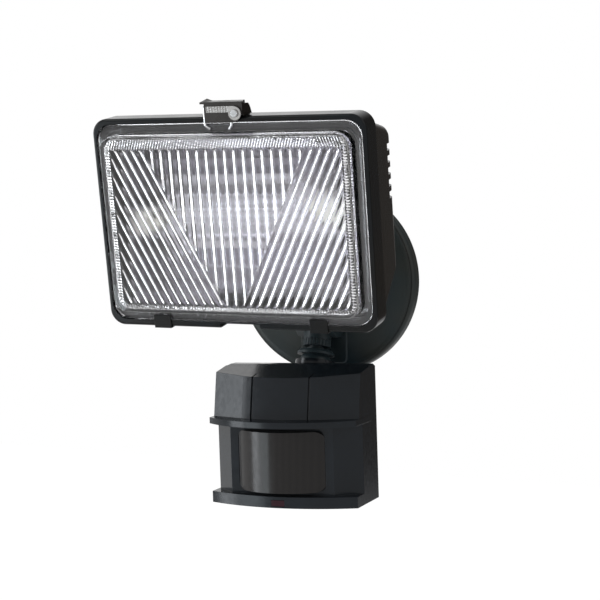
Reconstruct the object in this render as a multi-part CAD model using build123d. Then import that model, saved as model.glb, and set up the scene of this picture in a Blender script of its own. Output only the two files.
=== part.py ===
"""Motion sensor security light: a round wall canopy, a halogen floodlight head on a
swivelling and tilting neck, and a motion sensor hanging from a ball joint.

Units are millimetres. The wall is the plane Y = 0 and the light faces -Y, with +Z up and
+X to the right for someone facing it. The origin is the centre of the canopy's back face.
"""
from math import cos, radians, sin, tan
import os

from build123d import *

# ---- driving dimensions: canopy and wall fixing ---------------------------------
CANOPY_R = 64.6          # covers a 4 in octagon box
CANOPY_DEPTH = 12.0
CANOPY_EDGE_R = 5.5      # rounding of the front edge
CANOPY_WALL = 2.2
CANOPY_CROWN = 1.0       # how far the front face bulges at its middle
PAD_HALF_W = 17.0        # raised pad that carries the arm block
PAD_PROUD = 1.2
PAD_TOP = 16.0
PAD_BOTTOM = -57.0
GASKET_W = 7.0
GASKET_T = 3.0
STRAP_HALF_L = 50.0
STRAP_W = 16.0
STRAP_T = 2.0
STRAP_BACK = 0.3         # air between the strap and the plane of the wall
BOX_SCREW_SPACING = 88.9  # 3.5 in, as on an octagon box
SLOT_W = 5.0
SLOT_L = 9.0
CENTRE_SCREW_R = 3.0
ARM_SCREW_X = 12.0        # two screws from behind into the arm block
ARM_SCREW_Z = -25.0
ARM_SCREW_R = 1.5

# ---- driving dimensions: arm block, neck and lamp pivots -------------------------
ARM_HALF_W = 14.0
ARM_BOTTOM = -38.0
ARM_TOP = -12.0
ARM_WALL = 4.0
ARM_FRONT_LOW = -25.0    # front of the block's bottom edge
SWIVEL_Y = -27.0         # vertical axis that the lamp head turns about
SWIVEL_POST_R = 6.5
SWIVEL_NUT_T = 5.0
SWIVEL_WASHER_T = 1.6
NECK_COLLAR_R = 13.5
NECK_COLLAR_T = 7.0
NECK_R = 9.0
TILT_Y = -72.0           # pivot that the lamp head nods about
TILT_Z = 2.0
EYE_R = 11.0             # the neck's eye and the housing's two ears
EYE_HALF_W = 8.0
EAR_T = 5.0
TILT_BOLT_R = 3.0
SERRATIONS = 24

# ---- driving dimensions: glass --------------------------------------------------
GLASS_HALF_W = 85.9
GLASS_HALF_H = 60.5
GLASS_CORNER_R = 10.0
FLANGE_T = 3.5
DOME_HALF_W = GLASS_HALF_W - 4.5
DOME_HALF_H = GLASS_HALF_H - 5.5
DOME_H = 8.5             # how far the pressed panel stands out of its flange
DOME_CORNER_R = 9.5
GLASS_T = 3.0
FACE_HALF_W = DOME_HALF_W - 4.4       # fluted panel
FACE_TOP = DOME_HALF_H - 9.0
FACE_BOTTOM = 5.0 - DOME_HALF_H
FLUTE_H = 1.5
V_TOP_HALF = 53.0        # half-width of the V of upright flutes at the panel's top
V_BOTTOM_HALF = 6.0
FLUTE_PITCH_MID = 6.0
FLUTE_PITCH_SIDE = 5.0
FLUTE_LEAN = 27.2        # of the side flutes, degrees
RIB_PITCH = 1.75         # fine ribs round the fluted panel
RIB_H = 0.6
GLASS_GAP = 0.4          # air between the glass and its seat

# ---- driving dimensions: lamp head, in its own frame -----------------------------
LAMP_TILT = 10.48        # how far the head looks down
LAMP_Y = -161.28         # middle of the glass bead, in the light's frame
LAMP_Z = 41.72
RIM_SIDE = 2.5           # metal beside, above and below the glass
RIM_ABOVE = 3.3
RIM_BELOW = 3.9
RIM_HALF_W = GLASS_HALF_W + GLASS_GAP + RIM_SIDE
RIM_TOP = GLASS_HALF_H + GLASS_GAP + RIM_ABOVE
RIM_BOTTOM = -(GLASS_HALF_H + GLASS_GAP + RIM_BELOW)
RIM_FRONT = -2.3
RIM_BACK = 14.0
RIM_CORNER_R = 9.6
RIM_NOTCH_HALF_W = 13.3  # shallow notch in the middle of the rim's lower edge
RIM_NOTCH_H = 3.0
MOUTH_LEDGE = 5.0        # ledge that the gasket lies on
MOUTH_CORNER_R = 11.0
MOUTH_ABOVE = GLASS_HALF_H - 5.0   # the mouth reaches this far above and below the middle
MOUTH_BELOW = GLASS_HALF_H - 8.0
HEAD_DEPTH = 66.0
HEAD_HALF_W_FRONT = RIM_HALF_W - 3.3
HEAD_HALF_W_BACK = HEAD_HALF_W_FRONT - 5.1
HEAD_TOP_FRONT = RIM_TOP - 4.2
HEAD_TOP_BACK = HEAD_TOP_FRONT - 12.5
HEAD_BOTTOM_FRONT = RIM_BOTTOM + 2.8
HEAD_BOTTOM_BACK = HEAD_BOTTOM_FRONT + 28.0
HEAD_EDGE_R = 6.0        # rounding of the body's long upper edges
HEAD_WALL = 3.0
HEAD_REAR_WALL = 7.0
FIN_COUNT = 4
FIN_PITCH = 7.3
FIN_TOP_Z = 33.0         # middle of the highest fin
FIN_GROOVE = 4.2
FIN_DEPTH = 4.0
FIN_WRAP = 14.0          # how far the grooves run on to the side walls

# ---- driving dimensions: lamp, holders, reflector ---------------------------------
TUBE_R = 5.0
TUBE_HALF_L = 45.0
LAMP_HALF_L = 58.8       # 118 mm double-ended halogen lamp
CAP_R = 3.6
BULB_Y = 27.0
BULB_Z = 0.0
HOLDER_L = 13.5
HOLDER_W = 16.0
CAP_IN_HOLDER = 3.0      # how far a cap sits in its holder
REFLECTOR_HALF_W = LAMP_HALF_L - CAP_IN_HOLDER + HOLDER_L + 0.7
REFLECTOR_HALF_H = GLASS_HALF_H - 10.5
REFLECTOR_DEPTH = 50.0
REFLECTOR_T = 0.8
REFLECTOR_FOLDS = [(9.0, 1.0), (16.0, 0.88), (30.0, 0.72), (44.0, 0.48), (REFLECTOR_DEPTH, 0.2)]
POST_X = 30.0
POST_R = 4.0
LAMP_GASKET_T = 2.0

# ---- driving dimensions: latch over the glass -------------------------------------
SHEET_T = 1.2
LATCH_X = 0.6
LATCH_HALF_W = 13.6
LATCH_TOP = RIM_TOP + 8.1
LATCH_BOTTOM = RIM_TOP - 3.3          # lower edge of the lever's front
LATCH_BACK = 11.0                     # rear edge of the lever's top
LATCH_FALL = 0.9                      # how much the top falls towards its rear edge
LATCH_CORNER = 6.2                    # cut off the top's right rear corner
LATCH_PIVOT_Y = 10.5
BARREL_R = 2.3
LATCH_PIVOT_Z = RIM_TOP + SHEET_T + BARREL_R + 0.2
BARREL_HALF_L = LATCH_HALF_W - 5.4
LIP_W = 3.4                           # turned-up lip at the lever's left end
LIP_H = 1.9
BAIL_R = 0.8
LATCH_SCREW_X = LATCH_X + LATCH_HALF_W - 4.6
LATCH_SCREW_Z = LATCH_TOP - 5.9
LATCH_SCREW_R = 1.3
LATCH_LOBE_R = 4.0                    # the strip's round end about the screw
BAIL_LEFT = LATCH_X - LATCH_HALF_W + 1.6   # the wire's two legs
BAIL_RIGHT = LATCH_X + 5.1
GRIP_LEFT = BAIL_LEFT + 2.8           # serrated strip on the lever
GRIP_HIGH = LATCH_TOP - 1.6
GRIP_LOW = GRIP_HIGH - 3.6
GRIP_TEETH = 8
LATCH_WIRE_Y = RIM_FRONT - 0.1 - BAIL_R
LATCH_FRONT_BACK = LATCH_WIRE_Y - BAIL_R - 0.15   # inner face of the lever's front
TAB_X = 51.9             # two hooks under the glass
TAB_W = 11.4
TAB_T = 0.8
TAB_HOOK = 3.0           # how far the hooks and the bail reach over the glass
BAIL_TIP = GLASS_HALF_H - TAB_HOOK - 0.6

# ---- driving dimensions: sensor ball joint ----------------------------------------
STEM_LEAN = 15.0         # forward lean of the stem below the arm block
STEM_Y = -24.9           # where the stem's axis meets the block's bottom
STEM_R = 5.0
STEM_IN = 8.5
STUD_FLANGE_AT = 9.4
STUD_FLANGE_R = 12.6
STUD_FLANGE_T = 3.2
BALL_AT = 17.85
BALL_R = 10.5
SOCKET_R = BALL_R + 3.0
SOCKET_RIM = 1.2         # the cup's rim lies this far past the ball's middle
RING_NUT_R = 9.5
RING_NUT_T = 4.5
CLAMP_SCREW_R = 1.8

# ---- driving dimensions: sensor, in its own frame ----------------------------------
SENSOR_LEAN = 1.99       # sideways lean of the sensor in its ball joint
SENSOR_BALL_Y = 20.4     # the ball's middle, behind the sensor's back
SENSOR_BALL_Z = 86.5     # and above its base
SENSOR_HALF_W = 51.1
SENSOR_H = 88.5
SENSOR_SIDE_D = 40.8
BASE_H = 7.3
BASE_BOW = 11.2
BODY_SIDE_D = 28.4
BODY_FRONT_D = 42.4
VISOR_Z = 52.2
VISOR_T = 4.0
VISOR_BOW = 19.5
HOOD_SIDE_D_LOW = 34.8
HOOD_SIDE_D_TOP = 28.9
HOOD_BOW = 12.0
HOOD_FACET_X = 27.5
HOOD_FACET_IN = 3.6      # how far the facet edge lies behind the middle of the bow
HOOD_GROOVE_X = 20.0
HOOD_TOP_SLOPE = 10.0
SHELL_T = 2.2
SPLIT_D = 13.0           # seam between the rear and front shells
SEAM = 0.1
LENS_HALF_W = 31.0
LENS_LOW = 10.0
LENS_HIGH = 49.0
LENS_BULGE = 14.0
LENS_T = 1.4
LENS_CORNER_R = 7.0
LED_X = 0.4              # small dark red window in the base's front
LED_W = 9.0
LED_BACK = 48.5          # depth of the window's inner face
DIAL_X = -18.0           # range dial and on-time switch in the base
DIAL_Y = -25.0
DIAL_R = 6.0
SWITCH_X = 10.0
SWITCH_W = 4.0
SWITCH_TRAVEL = 9.0
SHELL_SCREW_X = SENSOR_HALF_W - 7.1
SHELL_SCREW_LOW = 7.0
SHELL_SCREW_HIGH = SENSOR_H - 10.5
SHELL_SCREWS = [(x, z) for x in (-SHELL_SCREW_X, SHELL_SCREW_X)
                for z in (SHELL_SCREW_LOW, SHELL_SCREW_HIGH)]
BOARD_HALF_W = 40.0
BOARD_LOW = 12.0
BOARD_HIGH = 76.0
BOARD_T = 1.6
BOARD_SCREWS = [(x, z) for x in (-34.0, 34.0) for z in (18.0, 70.0)]
SOCKET_SPLIT_X = 0.5     # the clamp half of the cup starts here
CLAMP_Y = SENSOR_BALL_Y + 5.0
CLAMP_Z = SENSOR_BALL_Z - SOCKET_R - 2.6

# ---- clearances -------------------------------------------------------------------
RUN = 0.05               # radial clearance of a turning fit
CLEAR = 0.3              # air between pieces that don't touch
SLIP = 0.15              # air round pieces that seat in a recess

os.makedirs("parts", exist_ok=True)

lamp_frame = Location((0, LAMP_Y, LAMP_Z), (LAMP_TILT, 0, 0))
stem_dir = Vector(0, -sin(radians(STEM_LEAN)), -cos(radians(STEM_LEAN)))
stem_root = Vector(0, STEM_Y, ARM_BOTTOM)
ball_centre = stem_root + stem_dir * BALL_AT
stem_plane = Plane(origin=stem_root, x_dir=(1, 0, 0), z_dir=stem_dir)
sensor_frame = (Location(ball_centre) * Location((0, 0, 0), (0, -SENSOR_LEAN, 0))
                * Location((0, -SENSOR_BALL_Y, -SENSOR_BALL_Z)))
tilt_pivot_in_lamp = (lamp_frame.inverse() * Location((0, TILT_Y, TILT_Z))).position


def save(name, shape, place=None):
    """Write one piece to its own file, in the light's frame."""
    if isinstance(shape, (list, tuple)):
        shape = Compound(children=list(shape))
    if place is not None:
        shape = place * shape
    export_step(shape, os.path.join("parts", name + ".step"))


def block(x0, x1, y0, y1, z0, z1):
    """A box between two corners."""
    size = (x1 - x0, y1 - y0, z1 - z0)
    middle = ((x0 + x1) / 2, (y0 + y1) / 2, (z0 + z1) / 2)
    return Pos(*middle) * Box(*size)


def rod_y(x, z, r, y0, y1):
    """A cylinder along Y."""
    return Pos(x, (y0 + y1) / 2, z) * Rot(90, 0, 0) * Cylinder(r, y1 - y0)


def rod_x(y, z, r, x0, x1):
    """A cylinder along X."""
    return Pos((x0 + x1) / 2, y, z) * Rot(0, 90, 0) * Cylinder(r, x1 - x0)


def rod_z(x, y, r, z0, z1):
    """A cylinder along Z."""
    return Pos(x, y, (z0 + z1) / 2) * Cylinder(r, z1 - z0)


def side_profile(points, x0, x1):
    """Extrude a closed outline of (y, z) points along X."""
    plane = Plane(origin=(x0, 0, 0), x_dir=(0, 1, 0), z_dir=(1, 0, 0))
    return extrude(plane * make_face(Polyline(*points, close=True)), x1 - x0)


def front_profile(points, y0, y1):
    """Extrude a closed outline of (x, z) points along Y."""
    plane = Plane(origin=(0, y1, 0), x_dir=(1, 0, 0), z_dir=(0, -1, 0))
    return extrude(plane * make_face(Polyline(*points, close=True)), y1 - y0)


def plan_profile(points, z0, z1):
    """Extrude a closed outline of (x, y) points along Z."""
    return extrude(Plane.XY.offset(z0) * make_face(Polyline(*points, close=True)), z1 - z0)


def rounded_plate(half_w, z0, z1, corner_r, y0, y1, taper=0.0):
    """A round-cornered plate in the XZ plane, from y1 at the back to y0 at the front."""
    plane = Plane(origin=(0, y1, (z0 + z1) / 2), x_dir=(1, 0, 0), z_dir=(0, -1, 0))
    return extrude(plane * RectangleRounded(2 * half_w, z1 - z0, corner_r), y1 - y0, taper=taper)


def pan_head_screw(x, z, head_r, head_t, shank_r, length, y_seat):
    """A screw that goes in along +Y, its head standing out towards -Y."""
    head = rod_y(x, z, head_r, y_seat - head_t, y_seat)
    head = fillet(head.faces().sort_by(Axis.Y)[0].edges(), head_t * 0.45)
    slot = block(x - head_r, x + head_r, y_seat - head_t - 1, y_seat - head_t * 0.55, z - 0.4, z + 0.4)
    return head + rod_y(x, z, shank_r, y_seat, y_seat + length) - slot


# ---- wall fixing ------------------------------------------------------------------
def make_canopy():
    """Spun dish with a raised pad, a wire hole and the centre screw's hole."""
    inner_r = CANOPY_R - CANOPY_WALL

    def dish(r, depth, edge_r, crown):
        outline = make_face(Polyline((0, 0), (r, 0), (r, -depth), (0, -depth), close=True))
        outline = fillet(outline.vertices().sort_by(Axis.Y)[:2].sort_by(Axis.X)[-1], edge_r)
        body = revolve(outline, Axis.Y)
        lens_r = (r * 0.8) ** 2 / (2 * crown)
        cap = Pos(0, -depth - crown + lens_r, 0) * Sphere(lens_r)
        return body + (cap & block(-r, r, -depth - crown, -depth + 0.5, -r, r))

    shell = dish(CANOPY_R, CANOPY_DEPTH, CANOPY_EDGE_R, CANOPY_CROWN)
    hollow = revolve(make_face(Polyline((0, 1), (inner_r, 1), (inner_r, -CANOPY_DEPTH + 5),
                                        (inner_r - 4, -CANOPY_DEPTH + CANOPY_WALL),
                                        (0, -CANOPY_DEPTH + CANOPY_WALL), close=True)), Axis.Y)
    pad_front = -CANOPY_DEPTH - PAD_PROUD
    pad = block(-PAD_HALF_W, PAD_HALF_W, pad_front, -CANOPY_DEPTH + 1, PAD_BOTTOM, PAD_TOP)
    pad = fillet(pad.edges().filter_by(Axis.Y), 4.0)
    pad = chamfer(pad.faces().sort_by(Axis.Y)[0].edges(), 0.8)
    solid = shell - hollow + pad
    solid -= rod_y(0, 0, CENTRE_SCREW_R + CLEAR, -CANOPY_DEPTH - 5, 1)
    wire_hole = block(-ARM_HALF_W + ARM_WALL, ARM_HALF_W - ARM_WALL, -CANOPY_DEPTH - 5, 1,
                      ARM_BOTTOM + 8, ARM_TOP - ARM_WALL)
    solid -= wire_hole
    for x in (-ARM_SCREW_X, ARM_SCREW_X):
        solid -= rod_y(x, ARM_SCREW_Z, ARM_SCREW_R + CLEAR, -CANOPY_DEPTH - 5, 1)
    return solid


def make_gasket():
    """Foam ring pressed between the canopy's rim and the wall."""
    outer = CANOPY_R - CANOPY_WALL - SLIP
    return rod_y(0, 0, outer, -GASKET_T, 0) - rod_y(0, 0, outer - GASKET_W, -GASKET_T - 1, 1)


def make_strap():
    """Steel strap on the wall box: two slots, a tapped middle and bent-in ends."""
    y0 = -STRAP_BACK - STRAP_T
    bar = block(-STRAP_HALF_L, STRAP_HALF_L, y0, -STRAP_BACK, -STRAP_W / 2, STRAP_W / 2)
    bar = fillet(bar.edges().filter_by(Axis.Y), 3.0)
    boss = rod_y(0, 0, CENTRE_SCREW_R + 2.5, y0 - 2.0, y0)
    bar = bar + boss - rod_y(0, 0, CENTRE_SCREW_R, y0 - 5, 1)
    for side in (-1, 1):
        x = side * BOX_SCREW_SPACING / 2
        half = (SLOT_L - SLOT_W) / 2
        bar -= block(x - half, x + half, y0 - 1, 1, -SLOT_W / 2, SLOT_W / 2)
        for end in (-half, half):
            bar -= rod_y(x + end, 0, SLOT_W / 2, y0 - 1, 1)
        bar -= rod_y(side * 22.0, 0, 2.2, y0 - 1, 1)
    return bar


def make_centre_screw():
    """Mushroom-headed screw that pulls the canopy on to the strap."""
    seat = -CANOPY_DEPTH - PAD_PROUD
    return pan_head_screw(0, 0, 5.0, 1.6, CENTRE_SCREW_R - RUN, -seat - STRAP_BACK - 0.2, seat)


def make_centre_washer():
    """Rubber ring on the screw, behind the canopy's front wall."""
    y1 = -CANOPY_DEPTH + CANOPY_WALL + 2.0
    ring = rod_y(0, 0, 6.5, y1 - 2.0, y1)
    return ring - rod_y(0, 0, CENTRE_SCREW_R + SLIP, y1 - 4, y1 + 1)


# ---- arm block --------------------------------------------------------------------
def make_arm_block():
    """Cast block on the canopy: swivel seat on top, leaning boss for the ball stud below."""
    back = -CANOPY_DEPTH - PAD_PROUD
    front = SWIVEL_Y - NECK_COLLAR_R
    slope_top = ARM_BOTTOM + 11.0
    body = side_profile([(back, ARM_BOTTOM), (ARM_FRONT_LOW, ARM_BOTTOM), (front, slope_top),
                         (front, ARM_TOP), (back, ARM_TOP)], -ARM_HALF_W, ARM_HALF_W)
    plan = (block(-ARM_HALF_W, ARM_HALF_W, SWIVEL_Y, back, ARM_BOTTOM - 1, ARM_TOP + 1)
            + rod_z(0, SWIVEL_Y, ARM_HALF_W, ARM_BOTTOM - 1, ARM_TOP + 1))
    body = body & plan
    boss = stem_plane * (Pos(0, 0, -2.0) * Cylinder(RING_NUT_R, 8.4))
    body += boss & block(-20, 20, front, back, ARM_BOTTOM - 10, ARM_BOTTOM + 6)
    cavity_top = ARM_TOP - ARM_WALL
    cavity_bottom = ARM_BOTTOM + 8.0
    half = ARM_HALF_W - ARM_WALL
    cavity = block(-half, half, SWIVEL_Y, back + 1, cavity_bottom, cavity_top)
    cavity += rod_z(0, SWIVEL_Y, half, cavity_bottom, cavity_top) & block(
        -half, half, SWIVEL_Y - half, back, cavity_bottom, cavity_top)
    body -= cavity
    body -= rod_z(0, SWIVEL_Y, SWIVEL_POST_R + RUN, cavity_bottom, ARM_TOP + 1)
    body -= stem_plane * (Pos(0, 0, -STEM_IN / 2 + 3) * Cylinder(STEM_R + RUN, STEM_IN + 8))
    for x in (-ARM_SCREW_X, ARM_SCREW_X):
        body -= rod_y(x, ARM_SCREW_Z, ARM_SCREW_R, back - 7.0, back + 1)
    return body


def make_arm_screws():
    """Two screws from behind the canopy into the arm block."""
    seat = -CANOPY_DEPTH + CANOPY_WALL
    screws = []
    for x in (-ARM_SCREW_X, ARM_SCREW_X):
        head = rod_y(x, ARM_SCREW_Z, 2.6, seat, seat + 1.8)
        screws.append(head + rod_y(x, ARM_SCREW_Z, ARM_SCREW_R - 0.02, seat - 8.5, seat))
    return screws


# ---- neck of the lamp head ----------------------------------------------------------
def make_neck():
    """Cast elbow: hollow post in the arm block, flared collar, curved tube and eye."""
    z0 = ARM_TOP + SWIVEL_WASHER_T
    collar_top = z0 + NECK_COLLAR_T
    profile = make_face(Polyline((0, z0), (NECK_COLLAR_R, z0), (NECK_COLLAR_R, z0 + 3.0),
                                 (NECK_R + 1, collar_top), (0, collar_top), close=True))
    collar = Pos(0, SWIVEL_Y, 0) * revolve(Plane.XZ * profile, Axis.Z)
    post = rod_z(0, SWIVEL_Y, SWIVEL_POST_R, ARM_BOTTOM + 12.0, z0 + 1)
    start = Vector(0, SWIVEL_Y, z0 + 2)
    corner = Vector(0, SWIVEL_Y, TILT_Z + 8)
    end = Vector(0, TILT_Y, TILT_Z)
    path = FilletPolyline(start, corner, end, radius=12.0)
    tube = sweep(Plane(origin=start, x_dir=(1, 0, 0), z_dir=(0, 0, 1)) * Circle(NECK_R), path)
    clear_eye = rod_x(TILT_Y, TILT_Z, EYE_R + 1.0, -20, 20)
    eye = rod_x(TILT_Y, TILT_Z, EYE_R, -EYE_HALF_W, EYE_HALF_W)
    flanks = block(-EYE_HALF_W, EYE_HALF_W, TILT_Y - EYE_R, TILT_Y + EYE_R + 7,
                   TILT_Z - EYE_R - 1, TILT_Z + EYE_R + 1)
    neck = (tube - clear_eye) + (tube & flanks) + collar + post + eye
    neck -= rod_x(TILT_Y, TILT_Z, TILT_BOLT_R + RUN, -20, 20)
    neck -= rod_z(0, SWIVEL_Y, SWIVEL_POST_R - 2.0, ARM_BOTTOM + 9, z0 + 3)
    return neck


def make_swivel_washer():
    """Rubber ring between the arm block and the neck's collar."""
    ring = rod_z(0, SWIVEL_Y, NECK_COLLAR_R - 0.8, ARM_TOP, ARM_TOP + SWIVEL_WASHER_T)
    return ring - rod_z(0, SWIVEL_Y, SWIVEL_POST_R + RUN, ARM_TOP - 1, ARM_TOP + 3)


def make_swivel_nut():
    """Hexagonal nut that holds the neck's post from inside the arm block."""
    z1 = ARM_TOP - ARM_WALL - SLIP
    nut = extrude(Plane.XY.offset(z1 - SWIVEL_NUT_T) * Pos(0, SWIVEL_Y, 0)
                  * RegularPolygon(9.6, 6), SWIVEL_NUT_T)
    return nut - rod_z(0, SWIVEL_Y, SWIVEL_POST_R, z1 - SWIVEL_NUT_T - 1, z1 + 1)


def make_tilt_bolt():
    """Hex-headed bolt through ears and eye."""
    outer = EYE_HALF_W + RUN + EAR_T
    shank = rod_x(TILT_Y, TILT_Z, TILT_BOLT_R, -outer - 9.0, outer)
    plane = Plane(origin=(outer, TILT_Y, TILT_Z), x_dir=(0, 1, 0), z_dir=(1, 0, 0))
    head = extrude(plane * RegularPolygon(5.6, 6), 4.0)
    return shank + head


def make_wing_nut():
    """Two-winged nut that locks the tilt."""
    outer = -(EYE_HALF_W + RUN + EAR_T)
    hub = rod_x(TILT_Y, TILT_Z, 5.5, outer - 6.0, outer)
    wings = block(outer - 9.0, outer - 2.5, TILT_Y - 12.5, TILT_Y + 12.5, TILT_Z - 1.4, TILT_Z + 1.4)
    wings = fillet(wings.edges().filter_by(Axis.Z), 3.0)
    nut = hub + wings
    return nut - rod_x(TILT_Y, TILT_Z, TILT_BOLT_R, outer - 12, outer + 1)


# ---- lamp head ----------------------------------------------------------------------
def head_envelope(inset, rear_inset, front):
    """The tapering body behind the rim; insets give the inside of its walls."""
    back = HEAD_DEPTH - rear_inset
    top_f = HEAD_TOP_FRONT - inset
    top_b = HEAD_TOP_BACK - inset
    side = side_profile([(front, HEAD_BOTTOM_FRONT + inset),
                         (back, HEAD_BOTTOM_BACK + inset * 0.6),
                         (back, top_b), (front, top_f)], -RIM_HALF_W, RIM_HALF_W)
    x_edges = side.edges().filter_by(Axis.X).sort_by(Axis.Y)[-2:]
    side = fillet(x_edges.sort_by(Axis.Z)[-1], 16.0 - rear_inset)
    side = fillet(side.edges().filter_by(Axis.X).sort_by(Axis.Z)[1], 9.0 - rear_inset)
    w_f = HEAD_HALF_W_FRONT - inset
    w_b = HEAD_HALF_W_BACK - rear_inset
    plan = plan_profile([(-w_f, front), (w_f, front), (w_b, back), (-w_b, back)],
                        RIM_BOTTOM, RIM_TOP)
    plan = fillet(plan.edges().filter_by(Axis.Z).sort_by(Axis.Y)[-2:], 11.0 - rear_inset)
    body = side & plan
    if inset:
        return body
    long_edges = [e for e in body.edges() if e.length > HEAD_DEPTH / 3 and e.center().Z > top_b
                  and abs(e.center().X) > w_b - 2]
    return fillet(long_edges, HEAD_EDGE_R)


def make_housing():
    """Cast lamp head: bordered rim, finned tapering body and two hinge ears."""
    rim = rounded_plate(RIM_HALF_W, RIM_BOTTOM, RIM_TOP, RIM_CORNER_R, RIM_FRONT, RIM_BACK)
    rim = fillet(rim.faces().sort_by(Axis.Y)[0].edges(), 1.5)
    body = rim + head_envelope(0, 0, RIM_BACK - 2)
    for i in range(FIN_COUNT + 1):
        z = FIN_TOP_Z + FIN_PITCH * (0.5 - i)
        z0, z1 = z - FIN_GROOVE / 2, z + FIN_GROOVE / 2
        w = HEAD_HALF_W_BACK - FIN_DEPTH
        slab = block(-RIM_HALF_W, RIM_HALF_W, HEAD_DEPTH - FIN_WRAP, HEAD_DEPTH + 1, z0, z1)
        core = block(-w, w, 0, HEAD_DEPTH - FIN_DEPTH, z0 - 1, z1 + 1)
        core = fillet(core.edges().filter_by(Axis.Z).sort_by(Axis.Y)[-2:], 9.0)
        body -= slab - core
    body -= block(-RIM_NOTCH_HALF_W, RIM_NOTCH_HALF_W, RIM_FRONT - 1, RIM_BACK + 1,
                  RIM_BOTTOM - 1, RIM_BOTTOM + RIM_NOTCH_H)
    seat_z0 = -GLASS_HALF_H - GLASS_GAP
    seat = rounded_plate(GLASS_HALF_W + GLASS_GAP, seat_z0, -seat_z0, GLASS_CORNER_R,
                         RIM_FRONT - 1, FLANGE_T + LAMP_GASKET_T - 1.5)
    body -= seat
    ledge = MOUTH_LEDGE
    mouth = rounded_plate(GLASS_HALF_W - ledge, seat_z0 + ledge, -seat_z0 - ledge, MOUTH_CORNER_R,
                          0, RIM_BACK)
    body -= mouth & block(-RIM_HALF_W, RIM_HALF_W, -5, RIM_BACK + 4, -MOUTH_BELOW, MOUTH_ABOVE)
    body -= head_envelope(HEAD_WALL, HEAD_REAR_WALL, RIM_BACK - 3) & block(
        -RIM_HALF_W, RIM_HALF_W, -5, HEAD_DEPTH, -GLASS_HALF_H + 4.5, GLASS_HALF_H - 4.5)
    py, pz = tilt_pivot_in_lamp.Y, tilt_pivot_in_lamp.Z
    for side in (-1, 1):
        x0 = side * (EYE_HALF_W + RUN)
        x1 = side * (EYE_HALF_W + RUN + EAR_T)
        lo, hi = min(x0, x1), max(x0, x1)
        ear = rod_x(py, pz, EYE_R, lo, hi)
        ear += side_profile([(py + 5.5, pz + 9.5), (HEAD_DEPTH - 5, -12.0), (HEAD_DEPTH - 22, -42.0),
                             (py - 5.5, pz - 9.5)], lo, hi)
        body += ear
    body -= rod_x(py, pz, TILT_BOLT_R + SLIP, -20, 20)
    gap = EYE_HALF_W + RUN
    body -= rod_x(py, pz, EYE_R + 1.5, -gap, gap)
    return body


def make_lamp_gasket():
    """Silicone ring behind the glass flange."""
    y0 = FLANGE_T - 1.5 + 0.02
    y1 = FLANGE_T + LAMP_GASKET_T - 1.5

    def plate(inset, start, end):
        h = GLASS_HALF_H - inset
        return rounded_plate(GLASS_HALF_W - inset, -h, h, GLASS_CORNER_R - inset, start, end)

    return plate(0.5, y0, y1) - plate(4.5, y0 - 1, y1 + 1)


def flute_field(pitch, height, angle, outline, y_root):
    """Upright or leaning V-ridges inside an (x, z) outline, standing back from y_root."""
    count = int(2 * RIM_HALF_W * 1.4 / pitch)
    start = -count * pitch / 2
    points = [(start, 0.6)]
    for i in range(count):
        x = start + i * pitch
        points += [(x, 0.0), (x + pitch / 2, -height)]
    points += [(start + count * pitch, 0.0), (start + count * pitch, 0.6)]
    plane = Plane(origin=(0, y_root, -120), x_dir=(1, 0, 0), z_dir=(0, 0, 1))
    mirrored = [(x, -y) for x, y in points]
    ridges = extrude(plane * make_face(Polyline(*mirrored, close=True)), 240)
    ridges = Rot(0, angle, 0) * ridges
    return ridges & front_profile(outline, y_root - 5, y_root + 5)


def make_glass():
    """Pressed glass: flat flange, raised hollow panel, V of flutes and a ribbed border."""
    y_back = FLANGE_T - 1.5
    y_flange = y_back - FLANGE_T
    y_front = y_flange - DOME_H
    glass = rounded_plate(GLASS_HALF_W, -GLASS_HALF_H, GLASS_HALF_H, GLASS_CORNER_R,
                          y_flange, y_back)
    glass = fillet(glass.faces().sort_by(Axis.Y)[0].edges(), 0.8)
    glass += rounded_plate(DOME_HALF_W, -DOME_HALF_H, DOME_HALF_H, DOME_CORNER_R,
                           y_front, y_flange, taper=14)
    glass = fillet(glass.faces().sort_by(Axis.Y)[0].edges(), 1.2)
    w = DOME_HALF_W - 2.2
    h = DOME_HALF_H - 2.2
    glass -= rounded_plate(w, -h, h, DOME_CORNER_R - 2, y_front + GLASS_T, y_back + 1, taper=10)
    root = y_front + GLASS_T
    edge = FACE_HALF_W - 1.5
    top, bottom = FACE_TOP, FACE_BOTTOM
    mid = [(-V_TOP_HALF, top), (-V_BOTTOM_HALF, bottom), (V_BOTTOM_HALF, bottom), (V_TOP_HALF, top)]
    left = [(-V_TOP_HALF, top), (-edge, top), (-edge, bottom), (-V_BOTTOM_HALF, bottom)]
    right = [(-x, z) for x, z in left][::-1]
    glass += flute_field(FLUTE_PITCH_MID, FLUTE_H, 0.0, mid, root)
    glass += flute_field(FLUTE_PITCH_SIDE, FLUTE_H, -FLUTE_LEAN, left, root)
    glass += flute_field(FLUTE_PITCH_SIDE, FLUTE_H, FLUTE_LEAN, right, root)
    for z0, z1 in ((top + 0.5, h - 1.0), (1.0 - h, bottom - 0.5)):
        band = [(-edge, z0), (edge, z0), (edge, z1), (-edge, z1)]
        glass += flute_field(RIB_PITCH, RIB_H, 0.0, band, root)
    for x0, x1 in ((-w + 1.0, -edge - 0.3), (edge + 0.3, w - 1.0)):
        band = [(x0, bottom), (x1, bottom), (x1, top), (x0, top)]
        glass += flute_field(RIB_PITCH, RIB_H, 90.0, band, root)
    return glass


def make_reflector():
    """Bent aluminium sheet with flat steps, open to the front."""
    upper = [(y, share * REFLECTOR_HALF_H) for y, share in REFLECTOR_FOLDS]
    outer = upper + [(y, -z) for y, z in upper[::-1]]
    t = REFLECTOR_T
    inner = [(y - t, z * (1 - t / REFLECTOR_HALF_H)) for y, z in outer]
    return side_profile(outer + inner[::-1], -REFLECTOR_HALF_W, REFLECTOR_HALF_W)


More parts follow.
